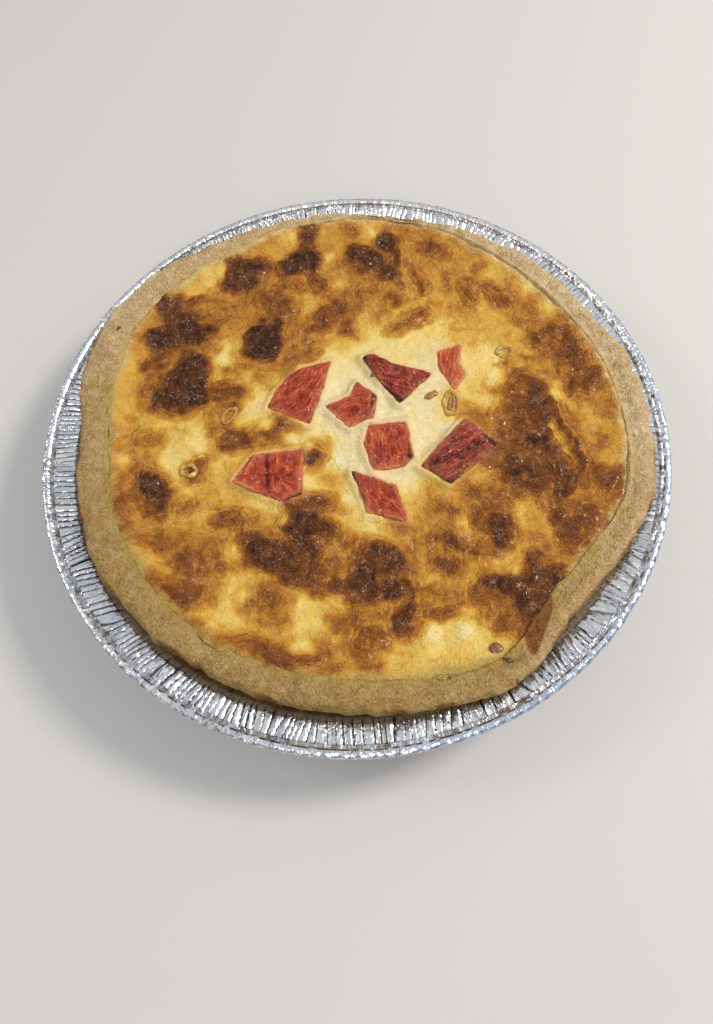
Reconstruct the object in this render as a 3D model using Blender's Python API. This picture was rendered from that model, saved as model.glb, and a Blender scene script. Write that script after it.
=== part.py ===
"""Feta, tomato and leek quiche in its foil pie plate.

Metres, +Z up. The origin is the middle of the plate's underside, and the quiche is seen from the -Y side.
"""

import math

import bpy
import numpy as np

MM = 0.001
TURN = 2 * math.pi
GAP = 0.4 * MM

# Foil plate: a nine-inch pie plate with a fluted flange and a rolled edge.
PLATE_RADIUS = 114.0 * MM
FOIL = 0.6 * MM
BASE_RADIUS = 82.0 * MM
BASE_CORNER = 2.0 * MM
WALL_TOP_RADIUS = 101.2 * MM
WALL_TOP_HEIGHT = 24.8 * MM
FLANGE_INNER_RADIUS = 103.0 * MM
FLANGE_INNER_HEIGHT = 26.2 * MM
FLANGE_OUTER_RADIUS = 109.6 * MM
FLANGE_OUTER_HEIGHT = 28.0 * MM
GROOVE_RADIUS = 110.5 * MM
GROOVE_HEIGHT = 27.2 * MM
BEAD_RADIUS = 1.6 * MM
BEAD_HEIGHT = 28.0 * MM
FLUTE_DEPTH = 0.8 * MM
FLUTE_POINTS = 192
WALL_POINTS = 64

# Pastry case: hand pressed, so the rim wanders in and out over the flange and has slumped in at one place.
PASTRY = 5.0 * MM
RIM_HEIGHT = 34.3 * MM
LIP_HEIGHT = 29.3 * MM
LIP_RISE = 1.0 * MM
LIP_RISE_FROM = 106.0 * MM
RIM_EDGE = 1.4 * MM
CASE_POINTS = 96
# Outer and inner radius of the rim every 15 degrees, counter-clockwise from +X.
RIM_OUTER = MM * np.array([
    106.6, 106.2, 104.1, 104.8, 102.1, 100.9, 101.1, 102.4, 103.6, 107.2, 109.0, 106.4,
    100.4, 100.3, 101.4, 100.6, 99.6, 100.6, 101.1, 103.3, 105.8, 100.4, 103.2, 107.2,
])
RIM_INNER = MM * np.array([
    95.9, 95.0, 94.1, 94.2, 95.8, 97.0, 97.2, 96.1, 94.4, 94.9, 95.0, 90.9,
    88.0, 88.2, 88.4, 88.3, 89.1, 88.8, 90.0, 92.7, 95.6, 90.0, 92.3, 97.0,
])

# Filling: baked custard, low at the left edge, domed towards the middle and raised where it has browned.
FILL_EDGE = 31.5 * MM
FILL_TILT = 0.7 * MM
FILL_TILT_TOWARDS = math.radians(10)
FILL_DOME = 1.6 * MM
# Share of the way out to the crust, and points on the ring.
FILL_RINGS = [
    (1.0, 96), (0.955, 96), (0.905, 96), (0.85, 96), (0.79, 96), (0.73, 96), (0.67, 96), (0.61, 96),
    (0.54, 48), (0.47, 48), (0.40, 48), (0.33, 48), (0.26, 24), (0.19, 24), (0.11, 12),
]
# Browned blisters: x, y, half length, half width, turn in degrees, height; lengths in mm.
BLISTERS = [
    (-44, 71, 9, 8, 0, 1.8), (-21, 78, 7, 7, 0, 1.6), (-35, 38, 8, 8, 0, 2.2), (-62, 21, 8, 12, 0, 1.8),
    (-70, 43, 12, 10, 0, 1.6), (-30, 56, 8, 7, 0, 1.2), (-10, 50, 11, 5, 45, 1.0), (3, 77, 10, 8, -20, 1.6),
    (14, 87, 5, 6, 0, 1.0), (33, 82, 7, 5, 0, 0.9), (22, 47, 8, 4, 35, 0.8), (60, 12, 11, 9, 0, 1.4),
    (62, -14, 13, 15, 0, 1.7), (76, 38, 10, 6, -25, 1.4), (86, 16, 6, 8, 0, 1.2), (88, -23, 6, 6, 0, 1.1),
    (78, -38, 10, 9, 20, 1.4), (47, -34, 8, 9, 0, 1.3), (33, -45, 8, 5, 0, 1.1), (9, -52, 10, 10, 0, 1.7),
    (-15, -37, 11, 9, 0, 1.6), (-30, -48, 14, 5, -40, 1.4), (-72, -22, 5, 8, 20, 1.4), (-34, -4, 10, 4, 15, 1.0),
    (-58, -60, 8, 5, 0, 1.1), (-28, -65, 8, 7, 0, 1.0), (58, -63, 11, 10, 0, 1.6), (16, -71, 5, 7, 0, 1.0),
    (6, -80, 7, 6, 0, 0.8), (-25, -83, 14, 4, -12, 0.8),
]

# Tomato pieces: how far each stands out of the custard, and its corners, in mm.
TOMATO_THICKNESS = 4.6 * MM
TOMATO_EDGE = 1.1 * MM
TOMATO_DISH = 0.5 * MM
TOMATO_SIDE_POINTS = 3
TOMATOES = [
    (2.6, [(-8.7, 26.7), (-20.6, 23.7), (-28.4, 15.8), (-31.9, 7.0), (-16.6, 0.1), (-12.7, 10.9)]),
    (2.9, [(1.6, 16.8), (-0.8, 10.9), (-9.7, 7.0), (-0.8, -1.4), (7.0, 2.0), (8.5, 10.9)]),
    (3.2, [(3.6, 28.1), (11.0, 15.8), (17.4, 7.4), (29.7, 20.3), (13.9, 25.2), (8.0, 29.6)]),
    (1.2, [(31.7, 30.6), (32.6, 22.7), (37.6, 12.9), (41.5, 19.8), (39.5, 25.7), (41.0, 34.5)]),
    (2.7, [(6.0, -1.4), (4.1, -8.8), (8.0, -18.7), (17.9, -17.2), (20.8, -13.7), (18.9, 0.1)]),
    (3.3, [(39.5, 1.0), (30.7, -8.8), (22.8, -17.7), (33.6, -24.6), (49.9, -9.8)]),
    (2.4, [(-41.7, -22.1), (-23.5, -30.5), (-17.6, -27.5), (-17.6, -10.3), (-35.3, -12.7)]),
    (2.5, [(0.1, -19.2), (6.0, -34.9), (18.4, -37.9), (12.9, -23.6)]),
]

# Leek: cut rings and short ends of stalk set in the custard: x, y, half length, half width, turn; lengths in mm.
LEEK_RINGS = [(36, 8, 4.6, 3.0, 80), (-45, 5, 3.0, 2.0, 60), (57, 30.5, 2.8, 2.0, 20), (-58, -17, 2.8, 2.0, 0)]
LEEK_WALL = 0.8 * MM
LEEK_ENDS = [(27, -76, 3.6, 2.4, 10), (36, -77, 3.4, 2.0, -15), (45, -80, 2.2, 1.8, 0), (29, 12, 2.4, 1.4, 30)]
LEEK_END_HEIGHT = 1.1 * MM


def clear_scene():
    for obj in list(bpy.data.objects):
        bpy.data.objects.remove(obj, do_unlink=True)


def new_collection(name):
    collection = bpy.data.collections.new(name)
    bpy.context.scene.collection.children.link(collection)
    return collection


def material(name, colour, roughness, metallic=0.0):
    made = bpy.data.materials.new(name)
    made.use_nodes = True
    shader = made.node_tree.nodes["Principled BSDF"]
    shader.inputs["Base Color"].default_value = (*colour, 1.0)
    shader.inputs["Roughness"].default_value = roughness
    shader.inputs["Metallic"].default_value = metallic
    return made


def turn(count):
    """Angles of the points of a ring."""
    return np.arange(count) * TURN / count


def around(values, angles):
    """Smooth closed curve through evenly spaced values, read at each angle."""
    place = np.asarray(angles) / TURN * len(values)
    start = np.floor(place).astype(int)
    part = place - start
    before, here, after, beyond = (np.take(values, start + step, mode="wrap") for step in (-1, 0, 1, 2))
    bend = 3 * (here - after) + beyond - before
    slope = 2 * before - 5 * here + 4 * after - beyond
    return here + 0.5 * part * (after - before + part * (slope + part * bend))


def step_up(value, start, end):
    """0 before start, 1 after end and a smooth rise between them."""
    share = np.clip((value - start) / (end - start), 0, 1)
    return share * share * (3 - 2 * share)


def ring(radius, height, angles):
    """Points at a radius and a height, each either one number or one for every angle."""
    flat = np.zeros_like(angles)
    return np.column_stack([(radius + flat) * np.cos(angles), (radius + flat) * np.sin(angles), height + flat])


def band(first, count, second, other, falls):
    """Faces between the ring of count points from index first and the next ring, which has a whole multiple
    or a whole fraction of them. A band that falls starts each face one corner on, so that two walls that face
    each other fold along the same diagonals."""
    if other == count:
        faces = []
        for i in range(count):
            after = (i + 1) % count
            corners = [first + i, first + after, second + after, second + i]
            faces.append(tuple(corners[1:] + corners[:1] if falls else corners))
        return faces
    faces = []
    coarse = min(count, other)
    share = max(count, other) // coarse
    middle = (share + 1) // 2
    widens = other > count
    for i in range(coarse):
        near, far = i, (i + 1) % coarse
        fine = [(i * share + k) % (coarse * share) for k in range(share + 1)]
        for k in range(share):
            corner = near if k < middle else far
            if widens:
                faces.append((first + corner, second + fine[k + 1], second + fine[k]))
            else:
                faces.append((first + fine[k], first + fine[k + 1], second + corner))
        if coarse == 1:
            continue
        if widens:
            faces.append((first + near, first + far, second + fine[middle]))
        else:
            faces.append((first + fine[middle], second + far, second + near))
    return faces


def loft(name, rings, finish, collection):
    """Closed body through rings, from the middle of its underside out, up and over to the middle of its top.
    One flat face closes a ring at either end, and a ring of one point is a pole."""
    counts = [len(points) for points in rings]
    starts = np.concatenate([[0], np.cumsum(counts)]).tolist()
    faces = []
    if counts[0] > 1:
        faces.append(tuple(reversed(range(counts[0]))))
    for index in range(len(rings) - 1):
        falls = np.mean(rings[index + 1][:, 2]) < np.mean(rings[index][:, 2])
        faces += band(starts[index], counts[index], starts[index + 1], counts[index + 1], falls)
    if counts[-1] > 1:
        faces.append(tuple(range(starts[-2], starts[-1])))
    mesh = bpy.data.meshes.new(name)
    mesh.from_pydata(np.vstack(rings).tolist(), [], faces)
    mesh.shade_smooth()
    mesh.set_sharp_from_angle(angle=math.radians(45))
    mesh.materials.append(finish)
    obj = bpy.data.objects.new(name, mesh)
    collection.objects.link(obj)
    return obj


def wall_radius(height):
    """Radius of the inside of the plate's wall at a height."""
    low = BASE_RADIUS + BASE_CORNER
    share = (height - BASE_CORNER) / (WALL_TOP_HEIGHT - BASE_CORNER)
    return low + share * (WALL_TOP_RADIUS - low)


def foil_plate(finish, collection):
    """Flat base, sloping wall, flange crimped into uneven flutes, a groove and a rolled edge."""
    chance = np.random.default_rng(9)
    fine = turn(FLUTE_POINTS)
    coarse = turn(WALL_POINTS)
    side = np.where(np.arange(FLUTE_POINTS) % 2, -1.0, 1.0)
    flute = FLUTE_DEPTH * side * chance.uniform(0.5, 1.1, FLUTE_POINTS)
    bead = PLATE_RADIUS - BEAD_RADIUS
    corner = BASE_RADIUS + BASE_CORNER
    rings = [
        ring(BASE_RADIUS, 0, coarse),
        ring(corner + FOIL, BASE_CORNER - FOIL, coarse),
        ring(WALL_TOP_RADIUS + FOIL + 0.3 * flute, WALL_TOP_HEIGHT - 0.3 * FOIL, fine),
        ring(FLANGE_INNER_RADIUS + 0.3 * FOIL, FLANGE_INNER_HEIGHT - FOIL + 0.6 * flute, fine),
        ring(FLANGE_OUTER_RADIUS, FLANGE_OUTER_HEIGHT - FOIL + 0.5 * flute, fine),
        ring(GROOVE_RADIUS, GROOVE_HEIGHT - FOIL, fine),
        ring(bead, BEAD_HEIGHT - BEAD_RADIUS, fine),
        ring(PLATE_RADIUS, BEAD_HEIGHT, fine),
        ring(bead, BEAD_HEIGHT + BEAD_RADIUS, fine),
        ring(bead - 0.8 * BEAD_RADIUS, BEAD_HEIGHT + 0.6 * BEAD_RADIUS, fine),
        ring(GROOVE_RADIUS, GROOVE_HEIGHT, fine),
        ring(FLANGE_OUTER_RADIUS, FLANGE_OUTER_HEIGHT + 0.5 * flute, fine),
        ring(FLANGE_INNER_RADIUS, FLANGE_INNER_HEIGHT + 0.6 * flute, fine),
        ring(WALL_TOP_RADIUS + 0.3 * flute, WALL_TOP_HEIGHT, fine),
        ring(corner, BASE_CORNER, coarse),
        ring(BASE_RADIUS - FOIL, FOIL, coarse),
    ]
    return loft("foil_plate", rings, finish, collection)


def fill_edge(angles):
    """Height of the custard where it meets the crust."""
    return FILL_EDGE + FILL_TILT * np.cos(angles - FILL_TILT_TOWARDS)


def fill_height(x, y):
    """Height of the custard: tilted, domed, and raised by a smooth bump at each blister."""
    angles = np.arctan2(y, x)
    out = np.hypot(x, y) / around(RIM_INNER, angles % TURN)
    height = FILL_EDGE + FILL_TILT * out * np.cos(angles - FILL_TILT_TOWARDS) + FILL_DOME * (1 - out * out)
    lift = np.zeros_like(height)
    for centre_x, centre_y, length, width, degrees, rise in BLISTERS:
        turned = math.radians(degrees)
        right = x / MM - centre_x
        away = y / MM - centre_y
        along = (right * math.cos(turned) + away * math.sin(turned)) / length
        across = (away * math.cos(turned) - right * math.sin(turned)) / width
        lift = np.maximum(lift, rise * MM * np.clip(1 - (along**2 + across**2), 0, 1) ** 0.8)
    return height + lift * step_up(1 - out, 0, 0.05)


def case_lines(angles):
    """Radii that the crust and the filling share: the case's floor edge, its inside half way up and its rim."""
    floor = BASE_RADIUS - PASTRY
    inner = around(RIM_INNER, angles)
    middle = np.minimum(inner - 2 * MM, wall_radius(20 * MM) - PASTRY)
    return floor, middle, inner


def crust(finish, collection):
    """Pastry case: floor, wall against the foil, and a rounded rim that lies over the flange where it reaches."""
    chance = np.random.default_rng(4)
    angles = turn(CASE_POINTS)
    outer = around(RIM_OUTER, angles) + chance.uniform(-0.3, 0.3, CASE_POINTS) * MM
    floor, middle, inner = case_lines(angles)
    waves = 0.35 * np.sin(3 * angles + 1.0) + 0.3 * np.sin(7 * angles) + 0.2 * np.sin(16 * angles + 2.0)
    crest = RIM_HEIGHT + MM * waves
    lip = LIP_HEIGHT + LIP_RISE * step_up(outer, LIP_RISE_FROM, LIP_RISE_FROM + 2 * MM)
    bottom = FOIL + GAP
    neck = np.minimum(outer - 0.6 * MM, WALL_TOP_RADIUS - GAP)
    wall_top = np.minimum(outer - 1.2 * MM, wall_radius(WALL_TOP_HEIGHT - 1.5 * MM) - GAP - 0.2 * MM)
    width = outer - inner
    rings = [
        ring(BASE_RADIUS - FOIL - GAP, bottom, angles),
        ring(wall_radius(BASE_CORNER + GAP) - GAP, BASE_CORNER + 2 * GAP, angles),
        ring(wall_top, WALL_TOP_HEIGHT - 1.5 * MM, angles),
        ring(neck, lip - 0.5 * MM, angles),
        ring(np.maximum(outer - 1.5 * MM, neck + 0.2 * MM), lip, angles),
        ring(outer, lip + 1.5 * MM, angles),
        ring(outer - RIM_EDGE, crest - 0.9 * MM, angles),
        ring(inner + 0.6 * width, crest, angles),
        ring(inner + 0.25 * width, crest - 0.8 * MM, angles),
        ring(inner + GAP, fill_edge(angles), angles),
        ring(middle, 20 * MM, angles),
        ring(floor, bottom + PASTRY, angles),
    ]
    return loft("crust", rings, finish, collection)


def filling(finish, collection):
    """Custard that fills the case, flush with it below and at the edge, with its blistered top."""
    angles = turn(CASE_POINTS)
    floor, middle, inner = case_lines(angles)
    rings = [
        ring(floor - GAP, FOIL + 2 * GAP + PASTRY, angles),
        ring(middle - GAP, 20 * MM + GAP, angles),
    ]
    for share, count in FILL_RINGS:
        spokes = turn(count)
        reach = share * around(RIM_INNER, spokes)
        rings.append(ring(reach, fill_height(reach * np.cos(spokes), reach * np.sin(spokes)), spokes))
    rings.append(np.array([[0, 0, fill_height(np.zeros(1), np.zeros(1))[0]]]))
    return loft("filling", rings, finish, collection)


def piece_outline(corners, grow=0.0):
    """Outline of a cut piece about its own middle: sides sampled evenly, corners softened, pushed out by grow."""
    corners = np.array(corners) * MM
    corners = corners - corners.mean(axis=0)
    steps = np.arange(TOMATO_SIDE_POINTS)[None, :, None] / TOMATO_SIDE_POINTS
    sides = corners[:, None] + (np.roll(corners, -1, axis=0) - corners)[:, None] * steps
    points = sides.reshape(-1, 2)
    points = 0.7 * points + 0.15 * (np.roll(points, 1, axis=0) + np.roll(points, -1, axis=0))
    along = np.roll(points, -1, axis=0) - np.roll(points, 1, axis=0)
    along = along / np.linalg.norm(along, axis=1)[:, None]
    return points + grow * np.column_stack([along[:, 1], -along[:, 0]])


def level(outline, scale, height):
    """The outline, scaled about its middle, at a height."""
    return np.column_stack([scale * outline, np.full(len(outline), height)])


def tomato(name, corners, finish, collection):
    """Cut piece of tomato: a rounded slab with a slightly sunk, wrinkled top."""
    outline = piece_outline(corners)
    uneven = 0.25 * MM * np.sin(np.arange(len(outline)) * 2.4)
    top = TOMATO_THICKNESS
    rings = [
        level(outline, 0.9, 0),
        level(outline, 1.0, TOMATO_EDGE),
        level(outline, 1.0, top - TOMATO_EDGE),
        level(outline, 0.9, top) + np.column_stack([np.zeros_like(uneven), np.zeros_like(uneven), uneven]),
        level(outline, 0.5, top - TOMATO_DISH),
        np.array([[0, 0, top - 0.6 * TOMATO_DISH]]),
    ]
    return loft(name, rings, finish, collection)


def place_of(corners, stands_out):
    """Where a piece's origin goes: its middle, sunk in the custard so that only its top stands out."""
    x, y = np.mean(corners, axis=0) * MM
    height = fill_height(np.array([x]), np.array([y]))[0]
    return x, y, height + stands_out * MM - TOMATO_THICKNESS


def seat(corners, finish, collection):
    """Cutter for the hollow that a tomato piece sits in."""
    outline = piece_outline(corners, GAP)
    rings = [level(outline, 1.0, -GAP), level(outline, 1.0, 2 * TOMATO_THICKNESS)]
    cutter = loft("seat", rings, finish, collection)
    cutter.hide_render = True
    cutter.display_type = "WIRE"
    return cutter


def leek_ring(x, y, length, width, degrees, collection):
    """Cut ring of leek: a flattened torus, half sunk in the custard."""
    bpy.ops.mesh.primitive_torus_add(
        major_segments=12, minor_segments=4, major_radius=length * MM, minor_radius=LEEK_WALL
    )
    settle(bpy.context.object, x, y, degrees, (1, width / length, 1), collection)


def leek_end(x, y, length, width, degrees, collection):
    """Short end of leek stalk: a low rounded lump."""
    bpy.ops.mesh.primitive_uv_sphere_add(segments=10, ring_count=6, radius=1)
    settle(bpy.context.object, x, y, degrees, (length * MM, width * MM, LEEK_END_HEIGHT), collection)


def settle(obj, x, y, degrees, scale, collection):
    """Shapes, turns and sets a small piece on the custard."""
    height = fill_height(np.array([x * MM]), np.array([y * MM]))[0]
    obj.scale = scale
    obj.rotation_euler = (0, 0, math.radians(degrees))
    obj.location = (x * MM, y * MM, height)
    for owner in list(obj.users_collection):
        owner.objects.unlink(obj)
    collection.objects.link(obj)


def boolean(obj, operation, collection):
    """Joins or cuts the object with every piece of the collection and applies it."""
    modifier = obj.modifiers.new(operation.lower(), "BOOLEAN")
    modifier.operation = operation
    modifier.operand_type = "COLLECTION"
    modifier.collection = collection
    modifier.solver = "EXACT"
    graph = bpy.context.evaluated_depsgraph_get()
    mesh = bpy.data.meshes.new_from_object(obj.evaluated_get(graph))
    obj.modifiers.clear()
    obj.data = mesh


def main():
    clear_scene()
    parts = new_collection("quiche")
    cutters = new_collection("cutters")
    foil = material("foil", (0.80, 0.81, 0.83), 0.3, 1.0)
    pastry = material("pastry", (0.50, 0.34, 0.17), 0.75)
    custard = material("custard", (0.60, 0.36, 0.10), 0.45)
    flesh = material("tomato", (0.36, 0.07, 0.04), 0.4)

    foil_plate(foil, parts)
    crust(pastry, parts)
    body = filling(custard, parts)

    for number, (stands_out, corners) in enumerate(TOMATOES, start=1):
        place = place_of(corners, stands_out)
        tomato(f"tomato_{number}", corners, flesh, parts).location = place
        seat(corners, custard, cutters).location = place
    boolean(body, "DIFFERENCE", cutters)

    leek = new_collection("leek")
    for piece in LEEK_RINGS:
        leek_ring(*piece, leek)
    for piece in LEEK_ENDS:
        leek_end(*piece, leek)
    boolean(body, "UNION", leek)
    for obj in list(leek.objects):
        bpy.data.objects.remove(obj, do_unlink=True)
    bpy.data.collections.remove(leek)


main()
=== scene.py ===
"""Feta, tomato and leek quiche in its foil pie plate: the looks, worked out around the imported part.

Metres, +Z up. Lists of places and sizes are in millimetres, angles run counter-clockwise from +X.
"""

import math

import bpy
import numpy as np
from mathutils import Matrix


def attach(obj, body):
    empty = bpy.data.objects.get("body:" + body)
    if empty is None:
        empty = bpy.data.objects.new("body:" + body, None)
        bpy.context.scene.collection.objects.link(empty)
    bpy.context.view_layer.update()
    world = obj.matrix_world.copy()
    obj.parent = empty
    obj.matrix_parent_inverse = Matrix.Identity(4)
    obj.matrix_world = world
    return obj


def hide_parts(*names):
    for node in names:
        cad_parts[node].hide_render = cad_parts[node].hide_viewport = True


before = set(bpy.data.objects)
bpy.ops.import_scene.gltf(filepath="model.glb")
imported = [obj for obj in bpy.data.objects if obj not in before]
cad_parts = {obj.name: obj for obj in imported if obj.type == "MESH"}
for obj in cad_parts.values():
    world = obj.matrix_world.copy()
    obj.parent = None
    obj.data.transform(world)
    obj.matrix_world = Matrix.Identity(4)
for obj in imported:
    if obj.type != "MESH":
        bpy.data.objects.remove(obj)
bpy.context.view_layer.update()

MM = 0.001
TURN = 2 * math.pi
GAP = 0.4

# The plate, in mm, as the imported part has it.
PLATE_RADIUS, FOIL = 114.0, 0.6
BASE_RADIUS, BASE_CORNER = 82.0, 2.0
WALL_TOP_RADIUS, WALL_TOP_HEIGHT = 101.2, 24.8
FLANGE_INNER_RADIUS, FLANGE_INNER_HEIGHT = 103.0, 26.2
FLANGE_OUTER_RADIUS, FLANGE_OUTER_HEIGHT = 109.6, 28.0
GROOVE_RADIUS = 110.5
BEAD_RADIUS, BEAD_HEIGHT = 1.6, 28.0
PLEATS = 290
PLATE_POINTS = 2160
# Inside this radius the flange is fluted, and past it the edge is crumpled.
BEAD_START = 110.9

# The pastry case, in mm.
PASTRY = 5.0
RIM_HEIGHT, LIP_HEIGHT, RIM_EDGE = 34.3, 29.3, 1.4
CASE_POINTS = 1080
RIM_OUTER = np.array([
    106.6, 106.2, 104.1, 104.8, 102.1, 100.9, 101.1, 102.4, 103.6, 107.2, 109.0, 106.4,
    100.4, 100.3, 101.4, 100.6, 99.6, 100.6, 101.1, 103.3, 105.8, 100.4, 103.2, 107.2,
])
RIM_INNER = np.array([
    95.9, 95.0, 94.1, 94.2, 95.8, 97.0, 97.2, 96.1, 94.4, 94.9, 95.0, 90.9,
    88.0, 88.2, 88.4, 88.3, 89.1, 88.8, 90.0, 92.7, 95.6, 90.0, 92.3, 97.0,
])

# The filling, in mm.
FILL_EDGE, FILL_TILT, FILL_DOME = 31.5, 0.7, 1.6
FILL_TILT_TOWARDS = math.radians(10)
FILL_STEPS = 306
# Browned blisters: x, y, half length, half width, turn in degrees, height.
BLISTERS = [
    (-44, 71, 9, 8, 0, 1.8), (-21, 78, 7, 7, 0, 1.6), (-35, 38, 8, 8, 0, 2.2), (-62, 21, 8, 12, 0, 1.8),
    (-70, 43, 12, 10, 0, 1.6), (-30, 56, 8, 7, 0, 1.2), (-10, 50, 11, 5, 45, 1.0), (3, 77, 10, 8, -20, 1.6),
    (14, 87, 5, 6, 0, 1.0), (33, 82, 7, 5, 0, 0.9), (22, 47, 8, 4, 35, 0.8), (60, 12, 11, 9, 0, 1.4),
    (62, -14, 13, 15, 0, 1.7), (76, 38, 10, 6, -25, 1.4), (86, 16, 6, 8, 0, 1.2), (88, -23, 6, 6, 0, 1.1),
    (78, -38, 10, 9, 20, 1.4), (47, -34, 8, 9, 0, 1.3), (33, -45, 8, 5, 0, 1.1), (9, -52, 10, 10, 0, 1.7),
    (-15, -37, 11, 9, 0, 1.6), (-30, -48, 14, 5, -40, 1.4), (-72, -22, 5, 8, 20, 1.4),
    (-34, -4, 10, 4, 15, 1.0), (-58, -60, 8, 5, 0, 1.1), (-28, -65, 8, 7, 0, 1.0),
    (58, -63, 11, 10, 0, 1.6), (16, -71, 5, 7, 0, 1.0), (6, -80, 7, 6, 0, 0.8), (-25, -83, 14, 4, -12, 0.8),
]

# The tomato, in mm.
TOMATO_THICKNESS = 4.6
TOMATO_POINTS = 200
# How dark and how pink each piece is.
TOMATO_TONES = [
    (-0.02, 0.25), (-0.01, 0.35), (0.12, 0.0), (-0.20, 0.7), (-0.03, 0.4), (0.16, 0.25), (-0.03, 0.4),
    (0.0, 0.3),
]
# Which way each one's wrinkles run, in degrees, but for the seventh, where they spread from its middle.
GRAIN = [55, 28, 135, 78, 100, 38, 0, -58]
# How far each piece stands out of the custard, its corners, and its scorched strokes (x, y and radius at
# either end).
TOMATOES = [
    (2.6,
     [(-7.6, 27.3), (-19.6, 24.3), (-27.6, 16.2), (-31.2, 7.2), (-15.0, -0.6), (-11.6, 10.9)],
     [(-15, 0, .8, -14, 4, .4)]),
    (2.9,
     [(1.6, 17.4), (-1.0, 11.2), (-10.4, 7.0), (-0.8, -2.1), (7.6, 1.6), (9.3, 11.2)],
     [(8.5, 11, 1.3, 7, 6, .6)]),
    (3.2,
     [(3.6, 28.1), (11.0, 15.8), (17.4, 7.4), (29.7, 20.3), (13.9, 25.2), (8.0, 29.6)],
     [(3.8, 28.6, 1.0, 6, 25, .5), (6, 25, .3, 11, 16, .3), (11, 16, .5, 17.4, 8, 1.7),
      (18, 8, .9, 23, 13, .3), (8, 27, .4, 12, 24, .3)]),
    (1.2,
     [(31.0, 30.9), (32.0, 22.7), (37.6, 12.6), (42.0, 19.8), (40.0, 25.7), (41.6, 34.8)],
     []),
    (2.7,
     [(5.6, -0.8), (3.8, -8.8), (7.6, -19.1), (18.2, -18.0), (21.8, -14.3), (19.6, 0.7)],
     [(20.5, -14, 1.0, 20, -8, .5)]),
    (3.3,
     [(40.6, 1.5), (31.8, -8.8), (23.6, -17.7), (34.2, -25.2), (51.4, -9.8)],
     [(50.5, -10, 1.5, 46, -6, .4), (25, -18, .4, 34, -24.5, .6), (34, -24.5, .7, 41, -18, .3)]),
    (2.4,
     [(-42.2, -22.1), (-23.5, -30.9), (-17.0, -28.2), (-17.0, -9.4), (-35.6, -11.6)],
     [(-23, -30.5, .9, -18, -27.5, .9)]),
    (2.5,
     [(-0.6, -18.6), (5.6, -35.2), (19.2, -38.4), (15.4, -24.6)],
     [(0, -19.5, 1.2, 2, -25, .5)]),
]

# Folds across two of them: x, y and radius at either end.
TOMATO_FOLDS = {6: (27, -18, 0.2, 46, -9, 0.2), 7: (-30.5, -12, 0.2, -29, -27, 0.2)}

# Leek rings, and short ends of stalk: x, y, half length, half width, turn in degrees.
LEEK_RINGS = [
    (36, 8, 4.7, 2.7, 80), (36.3, 8.2, 2.6, 0.9, 78), (-45, 5, 3.0, 2.0, 60), (57, 30.5, 2.8, 2.0, 20),
    (-58, -17, 2.8, 2.0, 0),
]
LEEK_WALL = 0.68
OVAL_POINTS, TUBE_POINTS = 64, 14
LEEK_BITS = [
    (29, 12, 2.6, 1.4, 30), (45.7, -81.3, 2.2, 1.7, 5), (8.5, 20.5, 1.7, 1.2, 20),
    (-17.0, 36.5, 2.0, 1.0, 40),
]
LEEK_BIT_HEIGHT = 0.8
# Burnt flecks on the crust, the same way.
FLECKS = [
    (49.4, -85.2, 2.0, 0.7, -20), (-90.5, 44.0, 0.9, 0.5, 40), (30.5, -90.5, 0.6, 0.4, 0),
]
FLECK_HEIGHT = 0.45
LUMP_ROWS, LUMP_POINTS = 13, 28
# Burnt runs of custard over the crust: x, y and radius at either end.
CRUST_BURNS = [
    (58.8, -67, 6.0, 57.6, -77.0, 3.3), (57.6, -77.0, 3.2, 57.0, -82.0, 1.6),
    (51.5, -91.5, 0.8, 52, -93.0, 0.5), (-34, 87.5, 1.8, -30, 88.5, 1.2), (-4, 94.5, 1.6, 1, 94.8, 1.4),
]

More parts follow.
